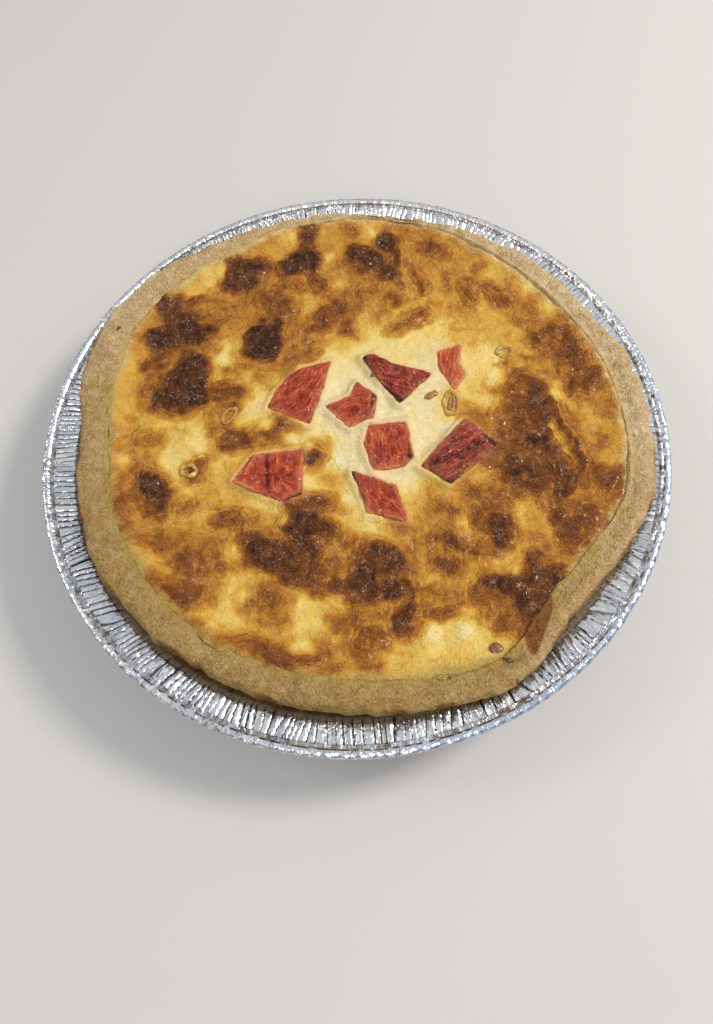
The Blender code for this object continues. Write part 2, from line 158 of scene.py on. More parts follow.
# Folds and creases of the custard: rise, width, then x, y and radius at either end.
FOLDS = [
    (-0.7, 0.8, 20.3, -36, 0.1, 21.0, -60, 0.1), (-0.5, 0.7, 21.0, -60, 0.1, 22.5, -72, 0.1),
    (0.4, 1.2, 18.2, -38, 0.3, 19.0, -60, 0.3), (0.8, 0.9, 71.5, 12, 0.3, 74.5, 0, 0.3),
    (0.8, 0.9, 74.5, 0, 0.3, 77.5, -8.5, 0.3), (0.8, 0.9, 77.5, -8.5, 0.3, 80.3, -16, 0.3),
    (0.8, 0.9, 80.3, -16, 0.3, 74, -26.5, 0.3), (-0.6, 0.8, 71.5, -2, 0.2, 75.0, -12, 0.2),
    (-0.6, 0.7, 50, -29, 0.1, 64, -30, 0.1), (0.5, 1.0, 50, 20, 0.2, 58, 28, 0.2),
    (0.6, 1.1, 24, 70, 0.2, 28.5, 60, 0.2), (-0.5, 0.8, 26, 71, 0.1, 31, 60, 0.1),
    (0.5, 1.0, 17, 66, 0.2, 21, 60, 0.2), (0.5, 1.0, 43, 64, 0.2, 47, 55, 0.2),
    (-0.4, 0.8, 40, 62, 0.1, 43, 54, 0.1), (0.5, 1.0, -28, 53, 0.2, -18, 59, 0.2),
    (-0.5, 0.8, -26, 49, 0.1, -15, 56, 0.1), (0.5, 1.0, -24, 33, 0.2, -12, 42, 0.2),
    (0.4, 1.2, -8, 31, 0.3, 6, 36, 0.3), (0.4, 1.1, -14, -4, 0.2, -4, -16, 0.2),
    (0.35, 1.2, 24, 3, 0.3, 33, 6, 0.3), (-0.4, 0.9, 26, -6, 0.1, 22, -14, 0.1),
    (0.5, 1.1, -60, -6, 0.2, -48, -16, 0.2), (-0.4, 0.8, -64, -12, 0.1, -50, -22, 0.1),
    (0.5, 1.1, -48, -30, 0.2, -34, -38, 0.2), (0.5, 1.1, -50, -42, 0.2, -40, -58, 0.2),
    (0.5, 1.0, 24, -68.5, 0.2, 35, -68, 0.2), (-0.5, 0.8, 24, -71.5, 0.1, 38, -71, 0.1),
    (0.5, 1.0, 26, -62, 0.2, 36, -65, 0.2), (0.5, 1.0, 60, 38, 0.2, 66, 46, 0.2),
    (-0.5, 0.9, 62, 32, 0.1, 70, 34, 0.1), (0.6, 1.0, 83, 8, 0.2, 80, 22, 0.2),
    (0.5, 1.0, 54, -30, 0.2, 58, -42, 0.2), (-0.5, 0.8, 30, -30, 0.1, 40, -38, 0.1),
    (0.5, 1.0, -36, 22, 0.2, -28, 29, 0.2), (0.6, 1.0, -56, 36, 0.2, -48, 48, 0.2),
    (-0.5, 0.9, -52, 34, 0.1, -45, 44, 0.1),
]
# Low whitish lumps under the skin of the pale custard: x, y, radius.
PALE_LUMPS = [(26.0, -76.4, 3.0), (35.6, -76.1, 3.2), (31.4, -87.0, 1.3)]

# How brown the custard is, 0 pale to 1 nearly black. Soft tones: x, y, reach, tone.
TONES = [
    (10, 5, 14, .02), (26, 6, 9, .04), (-6, -10, 8, .05), (22, -20, 5, .03), (9, -38, 3.5, .04),
    (-2, -25, 5, .09), (30, -3, 4, .08), (0, 24, 6, .09), (-6, 30, 5, .12), (22, 36, 8, .11),
    (9, 36, 5, .13), (32, 40, 4, .15), (46, 27, 5, .13), (52, 20, 5, .20), (46, 16, 4, .24),
    (44, 38, 5, .25), (33, 45, 4, .22), (-20, -4, 4, .15), (-12, -4, 4, .16), (-10, -19, 3, .2),
    (-37, 11, 4, .14), (-16, -23, 3, .16), (-47, 36, 3, .14), (-50, 28, 3, .12), (30, -22, 4, .24),
    (22, -29, 4, .25), (-5, -28, 3, .22), (3, -39, 3, .24), (-57, -4, 5, .17), (-63, -11, 5, .18),
    (-48, -13, 3, .2), (-66, 3, 5, .22), (-76, 4, 4, .26), (-85, 27, 4, .26), (-86, 12, 5, .3),
    (-84, -4, 4, .36), (-82, -14, 4, .42), (-78, 22, 3, .42), (-68, -2, 4, .24), (-62, -24, 4, .26),
    (-48, -22, 5, .28), (-40, -29, 4, .26), (-31, -32, 4, .18), (-60, -38, 4, .3), (-70, -36, 4, .38),
    (-52, -40, 4, .42), (-80, 36, 3, .36), (-56, 12, 4, .36), (-50, 6, 4, .4), (-72, -49, 4, .25),
    (-68, -56, 3, .26), (-65, -52, 3, .36), (-45, -49, 2.5, .3), (-40, -66, 5, .19), (-44, -70, 4, .2),
    (-36, -58, 4, .26), (-16, -70, 6, .17), (-13, -75, 5, .2), (-7, -68, 4, .27), (-25, -77, 4, .28),
    (-33, -75, 4, .32), (-4, -49, 2.5, .3), (-2, -87, 5, .36), (0, -80, 3, .42), (-50, -68, 4, .34),
    (-48, -59, 3, .46), (-1, -71, 3, .44), (-70, -62, 3, .4), (-15, -47, 3, .5), (28, -77, 7, .16),
    (38, -76, 6, .17), (18, -87, 6, .26), (33, -86, 6, .24), (46, -77, 4, .26), (26, -57, 4, .34),
    (36, -58, 4, .36), (38, -66, 4, .36), (52, -53, 3, .24), (57, -36, 3, .2), (55, -45, 2, .2),
    (63, -40, 4, .38), (66, -33, 4, .4), (78, -28, 4, .44), (70, -50, 4, .44), (82, -48, 4, .4),
    (75, -56, 3, .42), (37, -34, 2.5, .26), (30, -36, 4, .42), (12, -43, 3, .3), (22, -46, 3, .4),
    (24, -66, 3, .5), (47, -18, 3, .22), (44, -23, 3, .38), (52, -26, 3, .44), (88, -3, 4, .34),
    (84, 2, 3, .3), (92, -15, 4, .38), (87, -14, 3, .34), (92, 8, 4, .42), (84, -30, 3, .44),
    (58, -47, 3, .34), (74, 15, 3, .26), (69, 23, 4, .42), (66, 30, 5, .3), (58, 38, 5, .26),
    (53, 52, 4, .26), (60, 43, 4, .34), (52, 45, 4, .34), (44, 49, 3, .44), (36, 52, 4, .36),
    (58, 71, 5, .28), (65, 65, 4, .34), (71, 58, 4, .44), (76, 50, 5, .46), (84, 40, 4, .44),
    (90, 28, 4, .4), (93, 18, 3, .36), (43, 76, 4, .32), (35, 72, 4, .4), (50, 80, 4, .4), (42, 87, 4, .4),
    (24, 80, 4, .38), (28, 90, 4, .42), (20, 95, 4, .42), (7, 90, 4, .4), (5, 95, 3, .34), (10, 62, 4, .42),
    (23, 57, 4, .34), (4, 48, 3, .32), (10, 44, 4, .26), (2, 40, 4, .26), (12, 50, 3, .42),
    (-2, 66, 4, .48), (5, 67, 3, .46), (27, 53, 3, .34), (60, 62, 3, .44), (-58, 69, 4, .2),
    (-66, 65, 3, .28), (-52, 62, 4, .4), (-38, 87, 4, .36), (-30, 87, 5, .34), (-28, 93, 3, .3),
    (-12, 84, 5, .36), (-8, 92, 4, .34), (-9, 74, 4, .4), (-32, 72, 4, .5), (-47, 57, 5, .47),
    (-41, 51, 4, .44), (-17, 56, 3, .3), (-21, 63, 3, .46), (-20, 45, 4, .44), (-25, 41, 4, .48),
    (-24, 35, 4, .46), (-30, 24, 4, .42), (-40, 22, 3, .44), (-34, 65, 3, .42), (-48, 44, 3, .42),
    (-54, 36, 3, .46), (-56, 53, 4, .48), (-6, 37, 4, .32), (-14, 38, 4, .42), (-9, 58, 3, .5),
    (-82, 44, 3, .4), (-83, 50, 3, .42), (-78, 60, 3, .4), (-88, 36, 3, .34), (-42, 63, 3, .44),
]
# Clear places, paler than what lies round them: x, y, reach, tone.
CLEAR = [
    (-49, 29, 3, .12), (-31, 2, 3, .20), (50, 10, 3.5, .24), (-23, -37, 2.5, .36), (54, -55, 3, .30),
    (-1, -29, 3, .07), (-26, -32, 2.5, .22), (-53, 73, 3, .24), (-15, -9, 2, .22), (-21, -5, 2.5, .12),
    (-55, -9, 3, .12), (75, 51, 3, .25), (69, 61, 3, .20), (-40, -48, 3, .31), (53, 19, 3, .14),
    (74, 12, 2.5, .24), (54, 28, 3, .17), (11, -37, 2.5, .24), (8, 92, 3, .22), (-10, 79, 2.5, .24),
    (-5, 66, 3, .28), (-25, 89, 3, .24), (32, 6, 3, .13), (-28, 19, 3, .28), (-44, 37, 3, .31),
    (-15, -79, 3, .21), (-45, -73, 3, .26), (-83, -12, 3, .26), (-5, -66, 2.5, .31), (-51, -34, 3, .31),
    (-36, -63, 3, .26), (-40, 21, 3, .31), (71.7, -1.7, 1.7, .38), (73.2, -6.0, 1.7, .38),
    (74.8, -10.6, 1.5, .42),
]
# Browned strokes: x, y and radius at one end, x, y and radius at the other, tone.
STROKES = [
    (-47, 74, 4.8, -40, 73.5, 4.8, .9), (-48, 66.5, 4, -42, 68, 4.2, .86), (-37, 76, 3, -36, 74, 2.5, .72),
    (-24.5, 74.5, 4.6, -18, 77.5, 4.8, .92), (-20, 83, 2.4, -19.5, 88, 3.2, .8),
    (-19.5, 91, 4.2, -18.5, 94.5, 3.6, .82), (-17, 71, 2, -13, 63, 2.6, .68),
    (-35, 37, 7.4, -34, 37, 7.2, .97), (-31, 43, 4, -29.5, 46, 2, .88), (-34.5, 48, 2, -34.5, 48, 2, .82),
    (-75.5, 57.5, 3, -70, 50, 4, .88), (-74, 41, 5.5, -62, 43, 6.2, .92), (-60, 45, 4, -56, 43, 2.8, .82),
    (-66, 50, 4, -62, 50, 2.8, .78), (-66, 55.5, 1.3, -60, 59, 1.6, .7), (-78, 28.5, 2.2, -74, 34, 3, .72),
    (-60, 27, 4.8, -59, 15, 5.6, .95), (-64, 12, 5.2, -71, 14, 4.2, .86), (-66, 22, 4.6, -67, 15, 5, .86),
    (-62, 33, 2.6, -63, 28, 4, .8), (-49, 15.5, 3.2, -44.5, 15, 3.2, .71),
    (-32, 58, 3.2, -27, 54, 3.2, .73), (-29, 62.5, 2.4, -27, 64, 2, .66), (-25, 52, 2, -22.5, 51.5, 1, .67),
    (-34, 60, 4.6, -25, 53, 4.2, .57), (-12, 48, 2.8, -5.5, 53, 3.2, .73), (-17, 42, 1, -10, 45.5, 1.8, .7),
    (-3, 46, 2, -1.5, 41, 1.4, .64), (-14, 47, 4, -1, 54, 4.4, .57), (-2, 94, 2.8, -.5, 92.5, 2.8, .58),
    (-48, 26.5, 1.5, -47.5, 26.5, 1.5, .88), (-46, 26.5, 2, -42, 26.5, 2, .56),
    (-24, 29, 1.5, -17, 31.5, 2.2, .62), (-18, 36, 1, -17.5, 38, 1.2, .64), (-22, 35, 3, -16, 42, 2.5, .52),
    (-53, 20, 2, -48, 8, 3, .52), (-62, 58, 2, -50, 57, 2, .54), (-40, 60, 2, -34, 62, 2, .52),
    (-30, 70, 3, -24, 68, 3, .52), (-36, 50, 2, -32, 52, 2, .6), (-80, 17, 2.2, -77, 12, 2, .54),
    (-56, 36, 2.4, -57, 38, 2.4, .56), (3, 79, 4.4, 7.5, 75, 4.6, .9), (2, 83, 2.6, 2, 83, 2.6, .8),
    (11.5, 70.5, 2.8, 15, 69.5, 2.8, .86), (14, 87.5, 3.4, 13.5, 84, 3.6, .9),
    (16.5, 80, 1.8, 18, 73.5, 1.3, .76), (12.5, 77, 3, 13, 75, 2.6, .62),
    (29, 84.3, 1.6, 34, 81.5, 2.4, .71), (29, 83, 3.4, 36, 79, 3.5, .59), (24, 70, .9, 28, 61, .9, .71),
    (22, 76, 1, 28, 61, 2.6, .58), (17, 67, .9, 20, 62, .9, .7), (18, 57, 1.6, 17, 53.5, 1, .68),
    (13, 58, 2.6, 17.5, 56.5, 3, .58), (4, 59, 1, 8, 60, .8, .67), (0, 57, 3.6, 9, 62, 2.6, .56),
    (22, 46.5, 1.2, 27, 50, 1.1, .67), (16, 42, 2, 28.5, 50, 2.2, .57), (45, 60, .8, 46.8, 56, 1, .69),
    (43, 64, 2.2, 46, 55.5, 2.8, .57), (50, 72, 2.6, 45, 63, 2.6, .55), (37, 68, 2.6, 37.5, 60, 1.8, .54),
    (53, 61, .9, 57, 58.5, .9, .7), (59, 54, 1.7, 59, 53.5, 1.7, .71), (53, 61, 2.8, 60, 54, 3.2, .59),
    (62, 51, 2.6, 66, 46, 3.6, .53), (69, 37, 1.8, 75, 41.5, 2.6, .75), (77, 42, 2, 81, 38, 2.6, .68),
    (81.5, 37, 2.6, 82.5, 30, 2.4, .78), (70, 38, 4.4, 82, 37, 4.6, .6), (83, 28.5, 3, 84, 22, 2, .78),
    (83, 20, 1.4, 79.5, 12.5, 1, .71), (88.5, 20, 2.6, 86, 14.5, 2.2, .73), (85, 18, 6, 86, 16, 5.6, .58),
    (78.5, 25.5, .9, 77, 21.5, 1.1, .7), (73, 28, 2, 78, 30, 2.5, .56), (78, 30, 3, 76, 22, 3, .57),
    (63, 16, 4, 67, 13, 4, .76), (67, 12, 4.2, 67.5, 3, 4.8, .80), (60, 12, 4, 61.5, 4, 5, .70),
    (43, 4, 1.6, 56, 2, 3.4, .58), (53, 14, 2.4, 58, 16, 3.6, .6), (57.5, 26.3, 1, 57.5, 25.7, 1, .69),
    (57.5, 26, 2.2, 57.5, 25, 2.2, .57), (62, 21, 2, 66, 21, 2.4, .56), (37, 10, 2.4, 36.5, 7, 2.2, .36),
    (50, 38, .8, 44, 34, 1.2, .36), (10, 65, 3, 3, 63, 3, .52), (40, 42, 1.2, 46, 41, 1, .46),
    (90, 7, 2, 91, 5, 1.6, .5), (62, -3, 6.4, 64, -10, 6.6, .74), (66, -12, 6.4, 69, -17, 6.4, .76),
    (57.5, -18, 5.4, 64, -21, 6.0, .75), (56, 2, 5, 56, -14, 6, .64), (60, 10, 4.6, 62, 12, 5, .66),
    (63, -7.2, 1.6, 68, -8.4, 1.6, .95), (57, -19.8, 1.5, 64, -21.0, 1.6, .95),
    (72, -21, 3.6, 71, -27.5, 2.2, .82), (52.5, -8, 1.6, 57.5, -7.6, 1.3, .74),
    (53, -2, 4, 53, -14, 2.6, .58), (52, -21, 2.5, 58, -26, 3, .6), (71.2, 13.5, 1.4, 74.5, 0, 1.1, .84),
    (74.5, 0, 1.1, 77.5, -8.5, 1.2, .84), (77.5, -8.5, 1.2, 80.2, -15.5, 1.3, .86),
    (80.2, -15.5, 1.3, 79.5, -20, 1.3, .86), (79.5, -20, 1.2, 74, -26.5, 1.2, .8),
    (74, -26.5, 1.2, 71.4, -31, 1.1, .78), (78, -2, 2.4, 83, -14, 2.6, .55),
    (85, -21, 2.2, 90, -23, 3.6, .74), (85, -20, 3.8, 90.5, -23.5, 5, .59),
    (81, -36, 3.8, 74, -43, 4.2, .75), (82, -34, 5, 73, -45, 5.2, .6),
    (64.5, -47.5, 1.2, 64.5, -47.5, 1.2, .66), (64, -47, 3, 64, -47, 3, .52),
    (49, -39.5, 3.8, 50, -44, 3.8, .83), (41, -28, 3, 50, -29, 4, .6), (50, -30, 4, 47, -38, 4.6, .62),
    (39.5, -28, 1, 39.5, -29, 1, .7), (42, -34, 1.1, 43, -37, 1.6, .7), (54, -29, 1, 55, -29.5, 1, .68),
    (31.5, -44, 1.9, 36, -47.5, 1.1, .8), (36, -47.5, 1.1, 42, -48.8, 1.4, .72),
    (28, -43.5, 3, 42, -48, 2.8, .59), (28.5, -51, 1.4, 33, -54, 1.8, .75),
    (28, -51, 3.2, 34, -54, 3.2, .59), (8, -50.5, 4.0, 13, -53, 4.6, .84),
    (4, -56, 3.6, 1.5, -62, 4.4, .85), (3, -63, 3.8, 5, -62, 3.6, .84), (13, -61.5, 3.6, 13, -61, 3.6, .94),
    (18, -60, 1.8, 19.5, -64, 1, .77), (5, -53, 6.4, 14, -56, 5.8, .62),
    (18.5, -68, 2.2, 16.5, -73, 3.2, .84), (24, -69.5, .8, 32, -69.2, .9, .71),
    (24, -69, 1.4, 36, -67, 1.3, .59), (24, -62, 1.6, 34, -64.5, 2.4, .57),
    (4, -75.5, 1.1, 8, -76, 1.6, .72), (5, -76, 3, 5, -84, 3.2, .59), (11, -78, 1.3, 12, -78, 1.3, .6),
    (44.5, -60, 2.2, 49, -60.3, 2.8, .9), (50, -61, 3, 58, -58, 4.6, .86), (60, -52, 2, 60, -58, 4, .82),
    (60, -60, 4.6, 66, -57, 2.6, .84), (66, -57, 2.4, 69.5, -56, .8, .74),
    (56, -66, 4.4, 61, -62, 3.4, .82), (57, -70, 4.2, 57, -78, 3.4, .74),
    (48.5, -73.5, 1.8, 50, -71, 1.4, .72), (47, -68, 4, 53, -67, 4, .57),
    (20.3, -40, .7, 20.8, -60, .9, .56), (18.5, -46, 1.6, 19.5, -58, 1.8, .52),
    (27, -26, 2, 26, -29, 2, .47), (30, -31, 2.2, 33, -34, 1.8, .49), (22, -36, 1.2, 22, -36, 1.2, .5),
    (14, -39, 1.4, 19, -41, 2.4, .54), (86, -11, 1.6, 85, -8, 1.6, .5), (91, -9, 1.4, 90, -1.5, 1.4, .48),
    (44, -52, 2, 38, -51, 1.6, .5), (36, -21, .8, 42, -22, .8, .44), (2, -72, 1.6, -3, -73, 1.6, .56),
    (-44, -5.5, 2.3, -38, -5, 2.6, .7), (-32, -3, 2.4, -26, .5, 2.6, .76),
    (-47, -6, 1.4, -26, -2, 4.2, .58), (-76, -3.5, 2.8, -71.5, -4, 2.2, .57),
    (-74.5, -3.5, 1, -74.5, -3.5, 1, .67), (-83, -2, 1.4, -79, -2, 1.4, .53), (-82, 5, 2, -81, 2, 1.4, .48),
    (-74, -18.5, 2.6, -71, -23, 3.6, .93), (-71, -23, 3.6, -67, -28, 3, .86),
    (-75, -17, 3, -67, -30, 4, .61), (-82, -27.5, 1.1, -80.3, -36, 1.3, .68),
    (-83, -22, 1.8, -80, -37, 3.2, .59), (-55.3, -15.5, 1.8, -54, -15, 1.8, .72),
    (-53, -12, 2.2, -56, -17, 2.8, .57), (-15.2, -13.5, 1.5, -13.8, -12, 1.5, .88),
    (-15, -13, 3, -12, -9, 1.4, .52), (-62, -30, 1.4, -54, -31.8, 2.2, .6),
    (-58, -32, .8, -57, -32, .8, .67), (-48, -36, 2.4, -41, -36, 2.8, .65),
    (-52, -33, 1.4, -42, -33, 2, .54), (-42, -33, 2, -34, -36, 2, .54),
    (-22, -32.3, 2, -10, -30.5, 2.3, .76), (-20, -38, 3.8, -14, -38, 3.8, .92),
    (-12, -40, 3.6, -6, -42, 1.6, .82), (-17.5, -42, 3, -16, -42, 3, .93),
    (-23, -33, 2.6, -5, -31, 2.6, .6), (-36, -47, 4, -30, -48, 5, .82), (-30, -48, 4.8, -20, -51, 5.6, .82),
    (-20, -52, 5.6, -12, -57, 3.8, .78), (-34.5, -47, 2, -30, -48, 2, .93), (-21, -50, 2, -18, -50, 2, .88),
    (-37, -41.5, 1.8, -30, -44, 1.8, .7), (-8, -60, 1.8, -1, -63, 3, .77),
    (-69, -44, 1, -65.5, -47, 1.1, .69), (-76, -41, 1.8, -63, -44, 4.2, .57),
    (-60, -44, 4.2, -46, -46, 3.4, .54), (-56.5, -50, 2.7, -54, -57, 1.3, .74),
    (-57, -50, 3.6, -55, -58, 3.6, .59), (-52, -55, 2.4, -42, -53, 1.8, .57),
    (-44, -54.5, .8, -43, -54.3, .8, .67), (-61.5, -61, .9, -55.5, -64.3, 2.7, .78),
    (-66, -58, 2.2, -54.5, -64, 4, .61), (-47, -63, 2.4, -49, -61, 2.4, .54),
    (-27, -62.5, 1.8, -26, -63.5, 1.6, .72), (-33, -65.5, 1.2, -32.5, -65.5, 1.2, .71),
    (-33, -65, 3.2, -26, -63, 4.2, .59), (-28, -66, 4, -25, -71, 2.4, .56),
    (-54, -72, 2, -44, -77, 1.7, .58), (-44, -77, 1.7, -36, -79, 1.8, .6),
    (-35, -79, 1, -28, -82, 1.8, .74), (-28, -82, 1.8, -21, -85, 2.4, .75),
    (-21, -85, 2.4, -11, -82.5, 1.2, .73), (-36, -79, 2.4, -22, -84, 4, .6),
    (-22, -84, 3.6, -8, -81, 2.4, .58), (-38, -52, 2, -46, -55, 2, .55), (-30, -40, 2, -38, -39, 2, .53),
    (-62, -36, 1, -56, -38, 1, .48), (-25, -30.5, 1.2, -20, -29, 1.6, .56),
    (-8, -45, 2, -14, -46, 2.5, .58), (-73, -9, 1.6, -73, -14, 1.8, .52), (-66, 1, 1, -60, -2, .8, .36),
    (76, 5, 2.4, 80, 1, 2, .60), (47, -14, 2, 52, -12, 3, .68), (-4, -42, 1.5, -1, -46, 2, .62),
    (-8, -52, 2.5, -5, -55, 2, .62), (-77, -22, 2, -79, -26, 2, .66), (44, 1, 2, 50, -2, 2.5, .6),
    (41, -64, 2, 46, -63, 2, .66), (66, -31, 2.4, 72, -33, 2.4, .64), (-31, 54, 3, -28, 51, 2.5, .76),
    (74, 32, 2.4, 78, 30, 2.6, .7), (-56, -17, 2.6, -55, -16, 2, .8), (82, -38, 2.6, 85, -40, 2, .66),
    (87, -10, 2, 89, -7, 2, .58), (5, -79, 2.6, 9, -79, 2.4, .68), (66, 27, 2.4, 70, 28, 2.4, .55),
    (-75, 25, 2.4, -73, 28, 2.4, .7), (90, -27, 2.4, 91, -29, 2, .64), (-75, 58, 3, -70, 57, 2.6, .8),
    (-16, -45, 3, -13, -48, 3, .84), (-47, 9, 1.4, -44, 8.5, 1.4, .62), (62, -62, 4, 66, -60, 3, .86),
    (58, -68, 4, 62, -64, 4, .86), (-52, -48, 2.6, -46, -50, 2.6, .62), (71, -37, 3, 75, -40, 3, .72),
    (-55, -60, 2.4, -52, -62, 2, .68), (-77, 18, 2.4, -72, 17, 3, .66), (29, -33, 2, 34, -34, 2, .62),
    (-74, -27, 2.4, -72, -31, 2.4, .68), (-10, -87, 1.6, -4, -87, 1.6, .58), (0, 75, 2.6, 4, 72, 2.6, .74),
    (7, -70, 2, 11, -70, 2, .56), (77, -21, 2.4, 80, -23, 2.4, .72), (-50, 0, 2, -45, 0, 1.6, .6),
    (45, -46, 2.4, 48, -48, 2.4, .68), (-3, -72, 2.4, 1, -72, 2.4, .62), (67, -3, 3, 69, -5, 3, .82),
    (-10, -20, 1.6, -6, -22, 1.6, .4), (16, -83, 1.6, 19, -82, 1.6, .38),
    (-72, -20, 2.6, -70, -24, 2.8, .93),
]

# The camera: its place in mm, its directions, and its lens and sensor in mm.
CAMERA_PLACE = (9.280, -129.236, 256.550)
CAMERA_LOOK = (-0.03160196, 0.39128035, -0.91972877)
CAMERA_UP = (0.0134365, 0.92027153, 0.39104958)
CAMERA_RIGHT = (0.99941021, 0.0, -0.03433982)
LENS, SENSOR = 24.96, 36.0
# The studio: the sky's colour at its foot and overhead, and half the floor's width in mm.
SKY_LOW, SKY_HIGH = (0.17, 0.175, 0.185, 1.0), (0.66, 0.675, 0.70, 1.0)
FLOOR = 3000


def lattice(seed):
    """Random heights of the corners of a square lattice."""
    return np.random.default_rng(seed).uniform(-1, 1, (256, 256))


def noise(x, y, size, seed):
    """Smooth noise from -1 to 1: heights at the corners of squares of that size, blended by a quintic."""
    table = lattice(seed)
    x = np.asarray(x, float) / size + 1000.5
    y = np.asarray(y, float) / size + 1000.5
    i, j = np.floor(x).astype(int), np.floor(y).astype(int)
    s, t = x - i, y - j
    s, t = (part**3 * (part * (6 * part - 15) + 10) for part in (s, t))
    near, far = table[i % 256, j % 256], table[(i + 1) % 256, j % 256]
    near_up, far_up = table[i % 256, (j + 1) % 256], table[(i + 1) % 256, (j + 1) % 256]
    return (near * (1 - s) + far * s) * (1 - t) + (near_up * (1 - s) + far_up * s) * t


def fractal(x, y, size, seed, octaves=3):
    """Noise with finer noise added, each octave half the size and half the height of the one before."""
    total = sum(noise(x, y, size / 2**k, seed + k) / 2**k for k in range(octaves))
    return 1.4 * total / (2 - 0.5 ** (octaves - 1))


def ridges(x, y, size, seed):
    """Sharp crooked ridges, 1 on the ridge and 0 between: noise folded about zero on pushed-about places."""
    bent_x = x + 0.5 * size * noise(x, y, size * 1.7, seed + 50)
    bent_y = y + 0.5 * size * noise(x, y, size * 1.7, seed + 51)
    return np.clip(1 - 2.2 * np.abs(noise(bent_x, bent_y, size, seed)), 0, 1)


def step_up(value, start, end):
    """0 before start, 1 after end and a smooth rise between them."""
    share = np.clip((value - start) / (end - start), 0, 1)
    return share * share * (3 - 2 * share)


def turn(count):
    """Angles of the points of a ring."""
    return np.arange(count) * TURN / count


def around(values, angles):
    """Smooth closed curve through evenly spaced values, read at each angle."""
    place = np.asarray(angles) / TURN * len(values)
    start = np.floor(place).astype(int)
    part = place - start
    before, here, after, beyond = (np.take(values, start + step, mode="wrap") for step in (-1, 0, 1, 2))
    bend = 3 * (here - after) + beyond - before
    slope = 2 * before - 5 * here + 4 * after - beyond
    return here + 0.5 * part * (after - before + part * (slope + part * bend))


def angle_window(angles, middle, half):
    """1 at a middle angle and 0 beyond half either side of it, all in degrees, with a smooth fall."""
    away = np.abs((np.degrees(angles) - middle + 180) % 360 - 180)
    return 1 - step_up(away, 0.45 * half, half)


def curve_through(keys, steps):
    """Smooth open curves through a stack of key rings: Catmull-Rom from each to the next, in the steps listed."""
    keys = np.asarray(keys)
    padded = np.concatenate([2 * keys[:1] - keys[1:2], keys, 2 * keys[-1:] - keys[-2:-1]])
    rows = []
    for index, count in enumerate(steps):
        a, b, c, d = padded[index:index + 4]
        for part in np.arange(count) / count:
            bend = 3 * (b - c) + d - a
            slope = 2 * a - 5 * b + 4 * c - d
            rows.append(b + 0.5 * part * (c - a + part * (slope + part * bend)))
    rows.append(keys[-1])
    return np.array(rows)


def normals_of(rows):
    """Outward unit normals of a grid of rings: the cross product of its two directions."""
    around_ring = np.roll(rows, -1, axis=1) - np.roll(rows, 1, axis=1)
    across = np.gradient(rows, axis=0)
    normal = np.cross(around_ring, across)
    return normal / np.maximum(np.linalg.norm(normal, axis=2, keepdims=True), 1e-9)


def stroke_depth(x, y, x1, y1, r1, x2, y2, r2):
    """Distance outside a tapered stroke, less than 0 inside it."""
    dx, dy = x2 - x1, y2 - y1
    along = np.clip(((x - x1) * dx + (y - y1) * dy) / max(dx * dx + dy * dy, 1e-9), 0, 1)
    return np.hypot(x - x1 - along * dx, y - y1 - along * dy) - (r1 + along * (r2 - r1))


def outside_of(x, y, corners):
    """Distance outside a polygon, less than 0 inside it."""
    corners = np.asarray(corners, float)
    nearest = np.full(x.shape, 1e9)
    inside = np.zeros(x.shape, bool)
    for (x1, y1), (x2, y2) in zip(corners, np.roll(corners, -1, axis=0)):
        dx, dy = x2 - x1, y2 - y1
        along = np.clip(((x - x1) * dx + (y - y1) * dy) / (dx * dx + dy * dy), 0, 1)
        nearest = np.minimum(nearest, np.hypot(x - x1 - along * dx, y - y1 - along * dy))
        crosses = (y1 > y) != (y2 > y)
        inside ^= crosses & (x < x1 + (y - y1) * dx / (dy if dy else 1e-9))
    return np.where(inside, -nearest, nearest)


